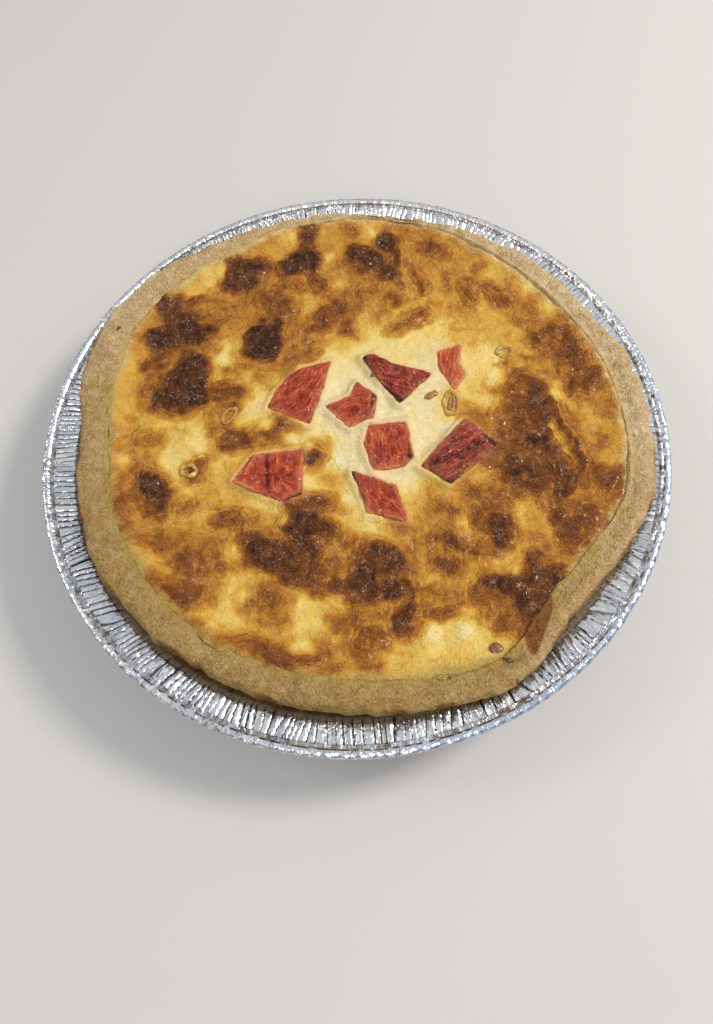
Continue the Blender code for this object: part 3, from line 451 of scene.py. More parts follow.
def browning(x, y):
    """How brown the custard is, and how far each place is outside the nearest dark stroke. Browning is the average
    of the soft tones near a place, with each stroke darker over it, a brown ring and a golden glow round each
    stroke, all on places pushed about by noise, less in the clear places, and with thin bands that follow the
    edges of the dark strokes."""
    warm_x = x + 1.0 * fractal(x, y, 7, 11) + 0.7 * noise(x, y, 3.4, 21) + 0.32 * noise(x, y, 1.6, 23)
    warm_y = y + 1.0 * fractal(x, y, 7, 12) + 0.7 * noise(x, y, 3.4, 22) + 0.32 * noise(x, y, 1.6, 24)
    weight = np.full(x.shape, 1e-5)
    tone = 0.36 * weight
    for place_x, place_y, reach, value in TONES:
        part = np.exp(-((warm_x - place_x) ** 2 + (warm_y - place_y) ** 2) / (1.3 * reach) ** 2)
        weight += part
        tone += part * value
    brown = tone / weight + 0.04 * fractal(x, y, 6, 31)
    brown = brown + 0.075 * np.clip((brown - 0.10) / 0.16, 0, 1)
    nearest = np.full(x.shape, 20.0)
    for *ends, dark in STROKES:
        away = stroke_depth(warm_x, warm_y, *ends) - 0.4
        size = min(1, 0.25 + 0.22 * max(ends[2], ends[5]))
        core = dark / (1 + np.exp((away - 0.3) / 0.45))
        band = min(dark - 0.04, 0.65) / (1 + np.exp((away - 2.3 * size) / 0.65))
        glow = min(dark - 0.10, 0.54) / (1 + np.exp((away - 4.5 * size) / (1.2 * size)))
        brown = np.maximum(brown, np.maximum(core, np.maximum(band, glow)))
        if dark > 0.62:
            nearest = np.minimum(nearest, away)
    for place_x, place_y, reach, tone in CLEAR:
        part = np.exp(-((warm_x - place_x) ** 2 + (warm_y - place_y) ** 2) / (1.15 * reach) ** 2)
        brown = brown - 1.1 * part * np.clip(brown - tone, 0, None)
    brown = brown + 0.04 * step_up(brown, 0.14, 0.34)
    mid, dark = step_up(brown, 0.14, 0.42), step_up(brown, 0.5, 0.75)
    streaks = ridges(x + 0.35 * y, y - 0.3 * x, 4.6, 33) - 0.35 + 0.6 * (ridges(x - 0.4 * y, y, 2.6, 35) - 0.35)
    brown = brown + mid * (0.06 * streaks + 0.035 * edge_bands(x, y, nearest) * (0.6 + noise(x, y, 8, 85)))
    return brown + dark * (0.08 * fractal(x, y, 3.4, 38, 2) - 0.06 * ridges(x, y, 4.0, 34) + 0.01), nearest


def edge_bands(x, y, nearest):
    """Waves from -1 to 1 that run along the edges of the dark strokes and fade a few mm away from them."""
    fade = np.exp(-(((nearest - 1.2) / 3.0) ** 2))
    return fade * np.cos(TURN * (nearest + 0.9 * fractal(x, y, 6, 39, 2)) / 2.2)


def fill_edge(angles):
    """Height of the custard where it meets the crust."""
    return FILL_EDGE + FILL_TILT * np.cos(angles - FILL_TILT_TOWARDS)


def fill_height(x, y):
    """Height of the custard: tilted, domed, and raised by a smooth bump at each blister."""
    angles = np.arctan2(y, x)
    out = np.hypot(x, y) / around(RIM_INNER, angles % TURN)
    height = FILL_EDGE + FILL_TILT * out * np.cos(angles - FILL_TILT_TOWARDS) + FILL_DOME * (1 - out * out)
    lift = np.zeros_like(height)
    for centre_x, centre_y, length, width, degrees, rise in BLISTERS:
        turned = math.radians(degrees)
        right, away = x - centre_x, y - centre_y
        along = (right * math.cos(turned) + away * math.sin(turned)) / length
        across = (away * math.cos(turned) - right * math.sin(turned)) / width
        lift = np.maximum(lift, rise * np.clip(1 - (along**2 + across**2), 0, 1) ** 0.8)
    return height + lift * step_up(1 - out, 0, 0.05)


def custard_height(x, y, brown, nearest):
    """Height of the custard in the looks: fill_height with lumps, raised crusty patches where it is brown, wrinkles
    and edge bands on them, listed creases and ridges, soft pleats and a few low lumps in the pale parts,
    a dip with a swell round each tomato, and a rim that climbs the crust and dives under its surface."""
    out = np.hypot(x, y) / around(RIM_INNER, np.arctan2(y, x) % TURN)
    inner = 1 - step_up(out, 0.93, 1.0)
    dark = step_up(brown, 0.45, 0.85)
    mid = step_up(brown, 0.2, 0.5)
    height = fill_height(x, y)
    height = height + inner * (0.6 * fractal(x, y, 13, 61) + 0.36 * fractal(x, y, 5.5, 64) * (0.5 + mid))
    height = height + inner * (0.45 * dark + (0.22 + 0.42 * dark) * (ridges(x, y, 3.2, 71) - 0.4) * (0.35 + mid))
    height = height + inner * (0.10 + 0.16 * dark) * fractal(x, y, 1.9, 75, 2)
    pleats = (1 - mid) * 0.26 * (ridges(x * 0.8, y * 1.3, 6.0, 81) - 0.3)
    height = height + inner * (pleats + 0.17 * edge_bands(x, y, nearest))
    for rise, wide, *ends in FOLDS:
        height = height + inner * rise * np.exp(-(np.clip(stroke_depth(x, y, *ends), 0, None) / wide) ** 2)
    for place_x, place_y, reach in PALE_LUMPS:
        away = np.hypot(x - place_x, y - place_y) / (reach * (1 + 0.15 * noise(x, y, 2.5, 84)))
        height = height + 0.5 * (1 - step_up(away, 0.45, 1.15))
    for stands_out, corners, _ in TOMATOES:
        away = outside_of(x, y, corners)
        swell = 0.55 * stands_out * np.exp(-((np.clip(away, 0.5, None) - 0.5) / 1.6) ** 2)
        height = height - 1.2 * step_up(-away, 0.0, 1.6) + swell * (1 - step_up(-away, 0.0, 1.6))
    angles = np.arctan2(y, x) % TURN
    past = np.hypot(x, y) - around(RIM_INNER, angles)
    rim = step_up(past, -7.0, 1.2)
    dive = step_up(past, lap(angles) - 2.8, lap(angles))
    return height * (1 - rim) + rim * (crust_top(x, y) + 0.2) - dive


def darker_side_share(angles):
    """How much darker the crust and the custard's margin are made: most on the side towards the camera, less on its
    left, least on its right.
    """
    return np.clip(angle_window(angles, 256, 112) + 0.25 * angle_window(angles, 150, 45), 0, 1)


def lap(angles):
    """How far the custard runs over the crust, the last of it under the crust's grain."""
    x, y = 90 * np.cos(angles), 90 * np.sin(angles)
    return 1.9 + 0.8 * noise(x, y, 4, 35) + 0.6 * noise(x, y, 14, 36)


def closed_skin(name, rows, facet=None, attributes=None):
    """Closed surface through equal rings, from the middle of its underside out, up and over to the middle of
    its top, with a fan of triangles to a middle point at either end."""
    rows = np.asarray(rows, float)
    count = rows.shape[1]
    points = rows.reshape(-1, 3)
    ends = np.array([rows[0].mean(axis=0), rows[-1].mean(axis=0)])
    index = np.arange(len(points)).reshape(rows.shape[:2])
    after = np.roll(index, -1, axis=1)
    quads = np.stack([index[:-1], after[:-1], after[1:], index[1:]], axis=-1).reshape(-1, 4)
    low, high = len(points), len(points) + 1
    first = np.stack([after[0], index[0], np.full(count, low)], axis=-1)
    last = np.stack([index[-1], after[-1], np.full(count, high)], axis=-1)
    faces = quads.tolist() + first.tolist() + last.tolist()
    values = {key: np.append(value.reshape(-1), [value[0].mean(), value[-1].mean()])
              for key, value in (attributes or {}).items()}
    return new_object(name, np.concatenate([points, ends]), faces, facet, values)


def new_object(name, points, faces, facet=None, values=None):
    """Mesh object at the origin, from points in mm, smooth but for edges sharper than facet degrees."""
    mesh = bpy.data.meshes.new(name)
    mesh.from_pydata((np.asarray(points) * MM).tolist(), [], faces)
    mesh.shade_smooth()
    if facet:
        mesh.set_sharp_from_angle(angle=math.radians(facet))
    for key, value in (values or {}).items():
        mesh.attributes.new(key, "FLOAT", "POINT").data.foreach_set("value", np.asarray(value, np.float32))
    made = bpy.data.objects.new(name, mesh)
    bpy.context.scene.collection.objects.link(made)
    return made


def ring(radius, height, angles):
    """Points at a radius and a height, each either one number or one for every angle."""
    flat = np.zeros_like(angles)
    return np.stack([(radius + flat) * np.cos(angles), (radius + flat) * np.sin(angles), height + flat], axis=-1)


def wall_radius(height):
    """Radius of the inside of the plate's wall at a height."""
    low = BASE_RADIUS + BASE_CORNER
    share = (height - BASE_CORNER) / (WALL_TOP_HEIGHT - BASE_CORNER)
    return low + share * (WALL_TOP_RADIUS - low)


def pleat(angles, radius, slant):
    """Height and crease of uneven pleats: on an angle pushed about by noise, each pleat is a broad tilted facet
    between narrow valleys, with its own depth and tilt, leaning by slant with the radius."""
    chance = np.random.default_rng(5)
    depth, tilt = chance.uniform(0.3, 1.0, 512), chance.uniform(-1.0, 1.0, 512)
    x, y = 60 * np.cos(angles), 60 * np.sin(angles)
    phase = PLEATS * angles / TURN - 7 * np.sin(angles - math.radians(320)) + slant * (radius - 106) / 7
    phase = phase + 1.5 * noise(x, y, 9, 91) + 0.55 * noise(x, y, 2.6, 92)
    number = np.floor(phase).astype(int) % PLEATS
    part = phase - np.floor(phase)
    valley = np.exp(-np.minimum(part, 1 - part) / 0.13)
    return depth[number] * (1 - 2 * valley) + 0.9 * tilt[number] * (part - 0.5), valley * (0.3 + 0.7 * depth[number])


def plate_skin():
    """Plate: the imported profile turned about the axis, with pleats, crumples and dents pushed along its normals."""
    angles = turn(PLATE_POINTS)
    x, y = np.cos(angles), np.sin(angles)
    bead = PLATE_RADIUS - BEAD_RADIUS
    corner = BASE_RADIUS + BASE_CORNER
    slant = 0.9 * noise(60 * x, 60 * y, 7, 93)
    wide = 0.6 + 0.3 * noise(60 * x, 60 * y, 16, 94) + 0.45 * angle_window(angles, 318, 26)
    profile = [(40, 0, 0), (BASE_RADIUS, 0, 0), (corner + FOIL, BASE_CORNER - FOIL, 0)]
    for share in (0.25, 0.5, 0.75):
        out = corner + FOIL + share * (WALL_TOP_RADIUS - corner)
        profile.append((out, 1.4 + share * (WALL_TOP_HEIGHT - 1.5), 0.12 * share))
    profile.append((WALL_TOP_RADIUS + FOIL, WALL_TOP_HEIGHT - 0.3, 0.25))
    profile += [(103.2, 25.7, 0.5), (106.4, 26.5, 0.7), (109.5, 27.3, 0.5), (110.5, 26.6, 0.2)]
    profile += [(bead + BEAD_RADIUS * math.sin(a), BEAD_HEIGHT - BEAD_RADIUS * math.cos(a), 0.12)
                for a in np.radians([0, 30, 60, 90, 115, 140, 160, 180, 205, 233])]
    profile += [(110.85, 27.9, 0.12), (110.5, 27.25, 0.18), (110.1, 27.35, 0.3), (109.75, 27.75, 0.5)]
    for share in np.linspace(0, 1, 11):
        place = FLANGE_OUTER_RADIUS + share * (FLANGE_INNER_RADIUS - FLANGE_OUTER_RADIUS)
        rise = FLANGE_OUTER_HEIGHT + share * (FLANGE_INNER_HEIGHT - FLANGE_OUTER_HEIGHT)
        profile.append((place, rise, 0.62 + 0.2 * math.sin(math.pi * share)))
    profile += [(102.2, 25.6, 0.45), (WALL_TOP_RADIUS, WALL_TOP_HEIGHT, 0.2)]
    for share in (0.75, 0.4):
        profile.append((corner + share * (WALL_TOP_RADIUS - corner), 2 + share * (WALL_TOP_HEIGHT - 2), 0.12 * share))
    profile += [(corner, BASE_CORNER, 0), (BASE_RADIUS - FOIL, FOIL, 0), (40, FOIL, 0)]
    rows = np.array([ring(radius, height, angles) for radius, height, _ in profile])
    normal = normals_of(rows)
    push, creases = [], []
    for index, (radius, height, amount) in enumerate(profile):
        upside = 1.0 if normal[index, :, 2].mean() > 0 or radius > BEAD_START else -1.0
        crumple = fractal(radius * x, radius * y + 3 * height, 2.0, 95, 2)
        folds, crease = pleat(angles, radius, slant)
        folds = folds * wide
        if radius > BEAD_START:
            spot = 112 * np.stack([np.cos(angles + 0.012 * index), np.sin(angles + 0.012 * index)])
            folds = 0.9 * noise(spot[0], spot[1] + 0.5 * index, 1.7, 97) + 0.7 * noise(spot[0], spot[1], 4.5, 98)
            crease = 0.34 * step_up(noise(spot[0], spot[1] + 0.6 * index, 1.5, 99), 0.1, 0.6)
        push.append(amount * upside * folds + 0.18 * amount * crumple)
        # The crease values mark the pleats' valleys and the crumples of the edge, where the foil's colour is painted
        # dark as shade.
        creases.append(crease * min(1, amount / 0.5) if radius < BEAD_START else crease)
    rows = rows + normal * np.array(push)[:, :, None]
    return closed_skin("foil_plate_skin", rows, facet=24, attributes={"crease": np.array(creases)})


def rim_waves(angles):
    """Rise and fall of the crust's rim: three sine waves of different lengths."""
    return 0.35 * np.sin(3 * angles + 1.0) + 0.3 * np.sin(7 * angles) + 0.2 * np.sin(16 * angles + 2.0)


def crust_keys(angles):
    """Key rings of the crust that show, from its neck over the rim to the inside of its wall."""
    outer = around(RIM_OUTER, angles)
    inner = around(RIM_INNER, angles)
    crest = RIM_HEIGHT + rim_waves(angles)
    lip = LIP_HEIGHT + step_up(outer, 106, 108)
    neck = np.minimum(outer - 0.6, WALL_TOP_RADIUS - GAP)
    width = outer - inner
    middle = np.minimum(inner - 2, wall_radius(20) - PASTRY)
    x, y = 100 * np.cos(angles), 100 * np.sin(angles)
    nibble = 0.55 * fractal(x, y, 6, 41) + 0.25 * noise(x, y, 1.7, 45)
    return [
        ring(np.minimum(outer - 1.2, wall_radius(WALL_TOP_HEIGHT - 1.5) - GAP - 0.2), WALL_TOP_HEIGHT - 1.5, angles),
        ring(neck, lip - 0.5, angles),
        ring(np.maximum(outer - 1.5, neck + 0.2), lip, angles),
        ring(outer + 0.5 * nibble, lip + 1.5, angles),
        ring(outer - RIM_EDGE + 0.8 * nibble, crest - 0.9, angles),
        ring(inner + 0.6 * width, crest, angles),
        ring(inner + 0.25 * width, crest - 0.8, angles),
        ring(inner + GAP, fill_edge(angles) + 0.9, angles),
        ring(middle, 20, angles),
    ]


def crust_skin():
    """Crust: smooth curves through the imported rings, pushed along their normals by thumb dimples, lumps, grains
    and cracks, with creases where the side has slumped in."""
    angles = turn(CASE_POINTS)
    keys = crust_keys(angles)
    shown = curve_through(keys, (3, 3, 7, 8, 12, 12, 10, 3))
    bottom = FOIL + GAP
    below = [ring(40, bottom, angles), ring(BASE_RADIUS - FOIL - GAP, bottom, angles),
             ring(wall_radius(BASE_CORNER + GAP) - GAP, BASE_CORNER + 2 * GAP, angles)]
    inside = [ring(BASE_RADIUS - PASTRY, bottom + PASTRY, angles), ring(40, bottom + PASTRY, angles)]
    rows = np.concatenate([below, shown, inside])
    normal = normals_of(rows)
    x, y = rows[..., 0] + 0.5 * rows[..., 2], rows[..., 1] - 0.4 * rows[..., 2]
    free = step_up(rows[..., 2], 28.0, 30.5) * np.ones_like(x)
    push = 0.55 * fractal(x, y, 11, 43, 2) + 0.34 * fractal(x, y, 4.2, 46, 2) + 0.17 * fractal(x, y, 1.7, 48, 2)
    crack = ridges(x, y, 5.0, 52) ** 4 * step_up(noise(x, y, 9, 54), 0.1, 0.5)
    push = push - 0.30 * crack
    slump = angle_window(angles, 309, 26)[None, :]
    span = np.hypot(rows[..., 0], rows[..., 1]) - around(RIM_INNER, angles)[None, :]
    creased = ridges(span * 2.4 + 0.15 * x, np.degrees(angles)[None, :] * 0.25 + 0 * x, 3.0, 56) ** 3
    push = push - 0.35 * slump * creased
    rows = rows + normal * (free * push)[..., None]
    width = (around(RIM_OUTER, angles) - around(RIM_INNER, angles))[None, :]
    shaded = step_up(span / width, 0.45, 0.85) * angle_window(angles, 318, 34)[None, :]
    south = darker_side_share(angles)[None, :] * (1 - 0.45 * shaded)
    edge = step_up(span / width, 0.80, 1.0) * (0.55 + 0.6 * fractal(x, y, 7, 59, 2))
    bake = south + 0.15 * fractal(x, y, 14, 58)
    burn = np.zeros_like(x)
    for ends in CRUST_BURNS:
        burn = np.maximum(burn, 1 / (1 + np.exp(stroke_depth(rows[..., 0], rows[..., 1], *ends) / 0.5)))
    pale = angle_window(angles, 145, 13)[None, :] * step_up(span / width, 0.7, 0.95)
    values = {"span": span, "bake": bake, "pale": pale, "edge": edge, "burn": burn}
    return closed_skin("crust_skin", rows, attributes=values)


def square_to_disc(steps):
    """Square grid bent into a disc of radius 1: each square ring of the grid becomes a circle."""
    side = np.linspace(-1, 1, steps + 1)
    a, b = np.meshgrid(side, side, indexing="xy")
    wide = np.abs(a) > np.abs(b)
    reach = np.where(wide, a, b)
    safe = np.where(reach == 0, 1, reach)
    angle = np.where(wide, math.pi / 4 * b / safe, math.pi / 2 - math.pi / 4 * a / safe)
    return reach * np.cos(angle), reach * np.sin(angle)


def custard_skin():
    """Custard: a disc grid stretched out to the crust and lifted to custard_height, with walls down to the case's
    floor and one flat face below."""
    disc_x, disc_y = square_to_disc(FILL_STEPS)
    angles = np.arctan2(disc_y, disc_x) % TURN
    share = np.hypot(disc_x, disc_y)
    reach = around(RIM_INNER, angles) + lap(angles) * step_up(share, 0.9, 1.0)
    x, y = share * reach * np.cos(angles), share * reach * np.sin(angles)
    brown, nearest = browning(x, y)
    z = custard_height(x, y, brown, nearest)
    side = FILL_STEPS + 1
    index = np.arange(side * side).reshape(side, side)
    quads = np.stack([index[:-1, :-1], index[:-1, 1:], index[1:, 1:], index[1:, :-1]], axis=-1).reshape(-1, 4)
    edge = np.concatenate([index[0, :-1], index[:-1, -1], index[-1, :0:-1], index[:0:-1, 0]])
    edge_angles = angles.reshape(-1)[edge]
    inner = around(RIM_INNER, edge_angles)
    middle = np.minimum(inner - 2, wall_radius(20) - PASTRY)
    walls = [ring(inner - 0.2, z.reshape(-1)[edge] - 2.2, edge_angles), ring(middle - GAP, 20 + GAP, edge_angles),
             ring(BASE_RADIUS - PASTRY - GAP, FOIL + 2 * GAP + PASTRY, edge_angles)]
    points = np.concatenate([np.stack([x, y, z], axis=-1).reshape(-1, 3), *walls])
    rows = [edge] + [side * side + len(edge) * k + np.arange(len(edge)) for k in range(3)]
    faces = quads.tolist()
    for upper, lower in zip(rows[:-1], rows[1:]):
        faces += np.stack([upper, lower, np.roll(lower, -1), np.roll(upper, -1)], axis=-1).tolist()
    faces.append(rows[-1][::-1].tolist())
    blush = np.zeros_like(x)
    for _, corners, _ in TOMATOES:
        blush = np.maximum(blush, np.exp(-np.clip(outside_of(x, y, corners), 0, None) / 1.3))
    cream = np.zeros_like(x)
    for place_x, place_y, radius in PALE_LUMPS:
        cream = np.maximum(cream, 1 - step_up(np.hypot(x - place_x, y - place_y) / radius, 0.4, 1.2))
    margin = around(RIM_INNER, angles) + lap(angles) - np.hypot(x, y)
    shown = {"browning": (brown, 0.3), "away": (nearest, 20), "blush": (blush, 0), "margin": (margin, 0),
             "cream": (cream, 0), "bake": (darker_side_share(angles), 0)}
    values = {key: np.append(value.reshape(-1), np.full(3 * len(edge), below))
              for key, (value, below) in shown.items()}
    return new_object("custard_skin", points, faces, values=values)


def smooth_outline(corners, count):
    """Closed outline through softened corners: sides sampled evenly by length, then blurred with their neighbours."""
    corners = np.asarray(corners, float)
    sides = np.roll(corners, -1, axis=0) - corners
    lengths = np.append(0, np.cumsum(np.linalg.norm(sides, axis=1)))
    place = np.arange(count) * lengths[-1] / count
    closed = np.concatenate([corners, corners[:1]])
    points = np.stack([np.interp(place, lengths, closed[:, k]) for k in (0, 1)], axis=-1)
    for _ in range(count // 9):
        points = 0.5 * points + 0.25 * (np.roll(points, 1, axis=0) + np.roll(points, -1, axis=0))
    return points


def tomato_skin(number, stands_out, corners, scorched):
    """Tomato piece: its outline swept in from a rounded side to a sunk, wrinkled and slightly torn top."""
    count = TOMATO_POINTS
    middle = np.mean(corners, axis=0)
    outline = smooth_outline(corners, count) - middle
    base = fill_height(np.array([middle[0]]), np.array([middle[1]]))[0] + stands_out - TOMATO_THICKNESS
    low = [(0.5, 0.05), (0.88, 0.0), (0.955, 0.25), (0.985, 0.7), (1.0, 1.2), (1.0, 1.9), (1.0, 2.6), (1.0, 3.1)]
    high = [(1 - 0.12 * (1 - math.cos(a)), 3.0 + 1.1 * math.sin(a)) for a in np.radians(np.arange(0, 91, 15))]
    inner = [(share, 4.15 + 0.4 * math.sin(3.6 * (0.88 - share) ** 0.8)) for share in np.linspace(0.86, 0.03, 34)]
    profile = np.array(low + high + inner)
    scale = profile[:, 0][:, None]
    x = scale * outline[None, :, 0] + middle[0]
    y = scale * outline[None, :, 1] + middle[1]
    seed = 300 + 10 * number
    rag = 0.6 * fractal(x, y, 3.6, seed) * step_up(profile[:, 1], 1.0, 3.2)[:, None]
    away = np.hypot(x - middle[0], y - middle[1]) + 1e-6
    rag_x, rag_y = rag * (x - middle[0]) / away, rag * (y - middle[1]) / away
    x, y = x + rag_x * step_up(scale, 0.3, 0.9), y + rag_y * step_up(scale, 0.3, 0.9)
    top = step_up(profile[:, 1], 2.6, 4.2)[:, None] * np.ones_like(x)
    across, along = x - middle[0], y - middle[1]
    if number == 7:
        across, along = 4.2 * np.arctan2(along, across + 1e-6), 0.5 * np.hypot(across, along)
    else:
        lean = math.radians(GRAIN[number - 1])
        across, along = (1.5 * (across * math.sin(lean) - along * math.cos(lean)),
                         0.55 * (across * math.cos(lean) + along * math.sin(lean)))
    wrinkle = 0.6 * ridges(across, along, 3.2, seed + 3) + 0.35 * ridges(across, along, 1.7, seed + 5) - 0.35
    if number in TOMATO_FOLDS:
        fold = stroke_depth(x, y, *TOMATO_FOLDS[number])
        wrinkle = wrinkle - 0.9 * np.exp(-np.clip(fold, 0, None) / 0.5)
    curl = 0.5 * fractal(x, y, 9, seed + 7, 2)
    z = base + profile[:, 1][:, None] + top * (0.75 * wrinkle + curl)
    depth = -outside_of(x, y, corners)
    char = np.zeros_like(x)
    for ends in scorched:
        char = np.maximum(char, 1 / (1 + np.exp(stroke_depth(x, y, *ends) / 0.5)))
    rows = np.stack([x, y, z], axis=-1)
    dark, pink = TOMATO_TONES[number - 1]
    values = {"across": across, "along": along, "depth": depth, "char": char, "crease": wrinkle,
              "dark": np.full_like(x, dark), "pink": np.full_like(x, pink)}
    return closed_skin(f"tomato_{number}_skin", rows, attributes=values)


def joined(name, pieces, values=None):
    """One object from several lists of points and faces, with one value of each attribute for each piece."""
    points, faces, numbers, start = [], [], [], 0
    for index, (own, own_faces) in enumerate(pieces):
        points.append(own)
        faces += [tuple(corner + start for corner in face) for face in own_faces]
        numbers += [index] * len(own)
        start += len(own)
    picked = {key: np.asarray(value)[numbers] for key, value in (values or {}).items()}
    return new_object(name, np.concatenate(points), faces, values=picked)


def grid_faces(rows, columns, closed_rows):
    """Quads of a grid that closes round its columns and, if asked, round its rows too."""
    index = np.arange(rows * columns).reshape(rows, columns)
    near = index if closed_rows else index[:-1]
    far = np.roll(index, -1, axis=0) if closed_rows else index[1:]
    return np.stack([near, np.roll(near, -1, axis=1), np.roll(far, -1, axis=1), far], axis=-1).reshape(-1, 4).tolist()


def turned_about(x, y, along, across, degrees):
    """Places that lie along and across a direction turned by some degrees about a place."""
    turned = math.radians(degrees)
    return (x + along * math.cos(turned) - across * math.sin(turned),
            y + along * math.sin(turned) + across * math.cos(turned))


def leek_ring(x, y, length, width, degrees, seed):
    """Cut ring of leek: a tube of uneven thickness bent round an oval, half sunk in the custard."""
    around_oval, around_tube = np.meshgrid(turn(OVAL_POINTS), turn(TUBE_POINTS), indexing="ij")
    wobble = 1 + 0.10 * np.sin(2 * around_oval + seed) + 0.06 * np.sin(5 * around_oval + 2 * seed)
    tube = LEEK_WALL * (1 + 0.15 * np.sin(3 * around_oval + seed))
    along = (length * wobble + tube * np.cos(around_tube)) * np.cos(around_oval)
    across = (width * wobble + tube * np.cos(around_tube)) * np.sin(around_oval)
    place_x, place_y = turned_about(x, y, along, across, degrees)
    height = custard_top(place_x, place_y) + 0.15 + 0.75 * tube * np.sin(around_tube)
    faces = [face[::-1] for face in grid_faces(OVAL_POINTS, TUBE_POINTS, True)]
    return np.stack([place_x, place_y, height], axis=-1).reshape(-1, 3), faces


def lump(x, y, length, width, degrees, height, seed, ground):
    """Low rounded lump: a ball squashed to its three sizes and roughened by noise, sunk to its middle in the
    ground, which is a height or a way to work it out."""
    tilt = np.linspace(-math.pi / 2 + 0.12, math.pi / 2 - 0.12, LUMP_ROWS)
    spin, lean = np.meshgrid(turn(LUMP_POINTS), tilt, indexing="xy")
    rough = 1 + 0.22 * noise(3 * np.cos(spin) + 7 * seed, 3 * np.sin(spin) + 3 * lean, 1.3, 600 + seed)
    along = length * rough * np.cos(spin) * np.cos(lean)
    across = width * rough * np.sin(spin) * np.cos(lean)
    place_x, place_y = turned_about(x, y, along, across, degrees)
    middle = float(ground(np.array([x]), np.array([y]))[0])
    points = np.stack([place_x, place_y, middle + height * rough * np.sin(lean)], axis=-1).reshape(-1, 3)
    ends = [[x, y, points[:LUMP_POINTS, 2].mean() - 0.02], [x, y, points[-LUMP_POINTS:, 2].mean() + 0.02]]
    count, last = len(points), len(points) - LUMP_POINTS
    faces = grid_faces(LUMP_ROWS, LUMP_POINTS, False)
    faces += [((k + 1) % LUMP_POINTS, k, count) for k in range(LUMP_POINTS)]
    faces += [(last + k, last + (k + 1) % LUMP_POINTS, count + 1) for k in range(LUMP_POINTS)]
    return np.concatenate([points, ends]), faces


def crust_top(x, y):
    """Height of the crust's rim at places, from its key rings."""
    angles = np.arctan2(y, x) % TURN
    share = (np.hypot(x, y) - around(RIM_INNER, angles)) / (around(RIM_OUTER, angles) - around(RIM_INNER, angles))
    height = RIM_HEIGHT + rim_waves(angles) - 0.8 * (1 - step_up(share, 0.1, 0.55))
    return height - 0.6 * step_up(share, 0.7, 0.95) + 0.15


def custard_top(x, y):
    """Height of the finished custard at places."""
    x, y = np.asarray(x, float), np.asarray(y, float)
    return custard_height(x, y, *browning(x, y))


class Value:
    """A socket of a material: sums on it read as expressions and add Math nodes."""

    def __init__(self, tree, socket):
        self.tree, self.socket = tree, socket

    def maths(self, operation, *values):
        made = self.tree.nodes.new("ShaderNodeMath")
        made.operation = operation
        for socket, value in zip(made.inputs, values):
            feed(self.tree, socket, value)
        return Value(self.tree, made.outputs[0])

    def __add__(self, other):
        return self.maths("ADD", self, other)

    def __radd__(self, other):
        return self.maths("ADD", other, self)

    def __sub__(self, other):
        return self.maths("SUBTRACT", self, other)

    def __rsub__(self, other):
        return self.maths("SUBTRACT", other, self)

    def __mul__(self, other):
        return self.maths("MULTIPLY", self, other)

    def __rmul__(self, other):
        return self.maths("MULTIPLY", other, self)

    def __abs__(self):
        return self.maths("ABSOLUTE", self)

    def sine(self):
        return self.maths("SINE", self)

    def most(self, other):
        return self.maths("MAXIMUM", self, other)

    def least(self, other):
        return self.maths("MINIMUM", self, other)


def feed(tree, socket, value):
    """Links a Value to a socket, or sets a plain number, colour or vector on it."""
    if isinstance(value, Value):
        tree.links.new(value.socket, socket)
    elif isinstance(value, tuple) and len(value) == 3 and socket.type == "RGBA":
        socket.default_value = (*value, 1.0)
    else:
        socket.default_value = value


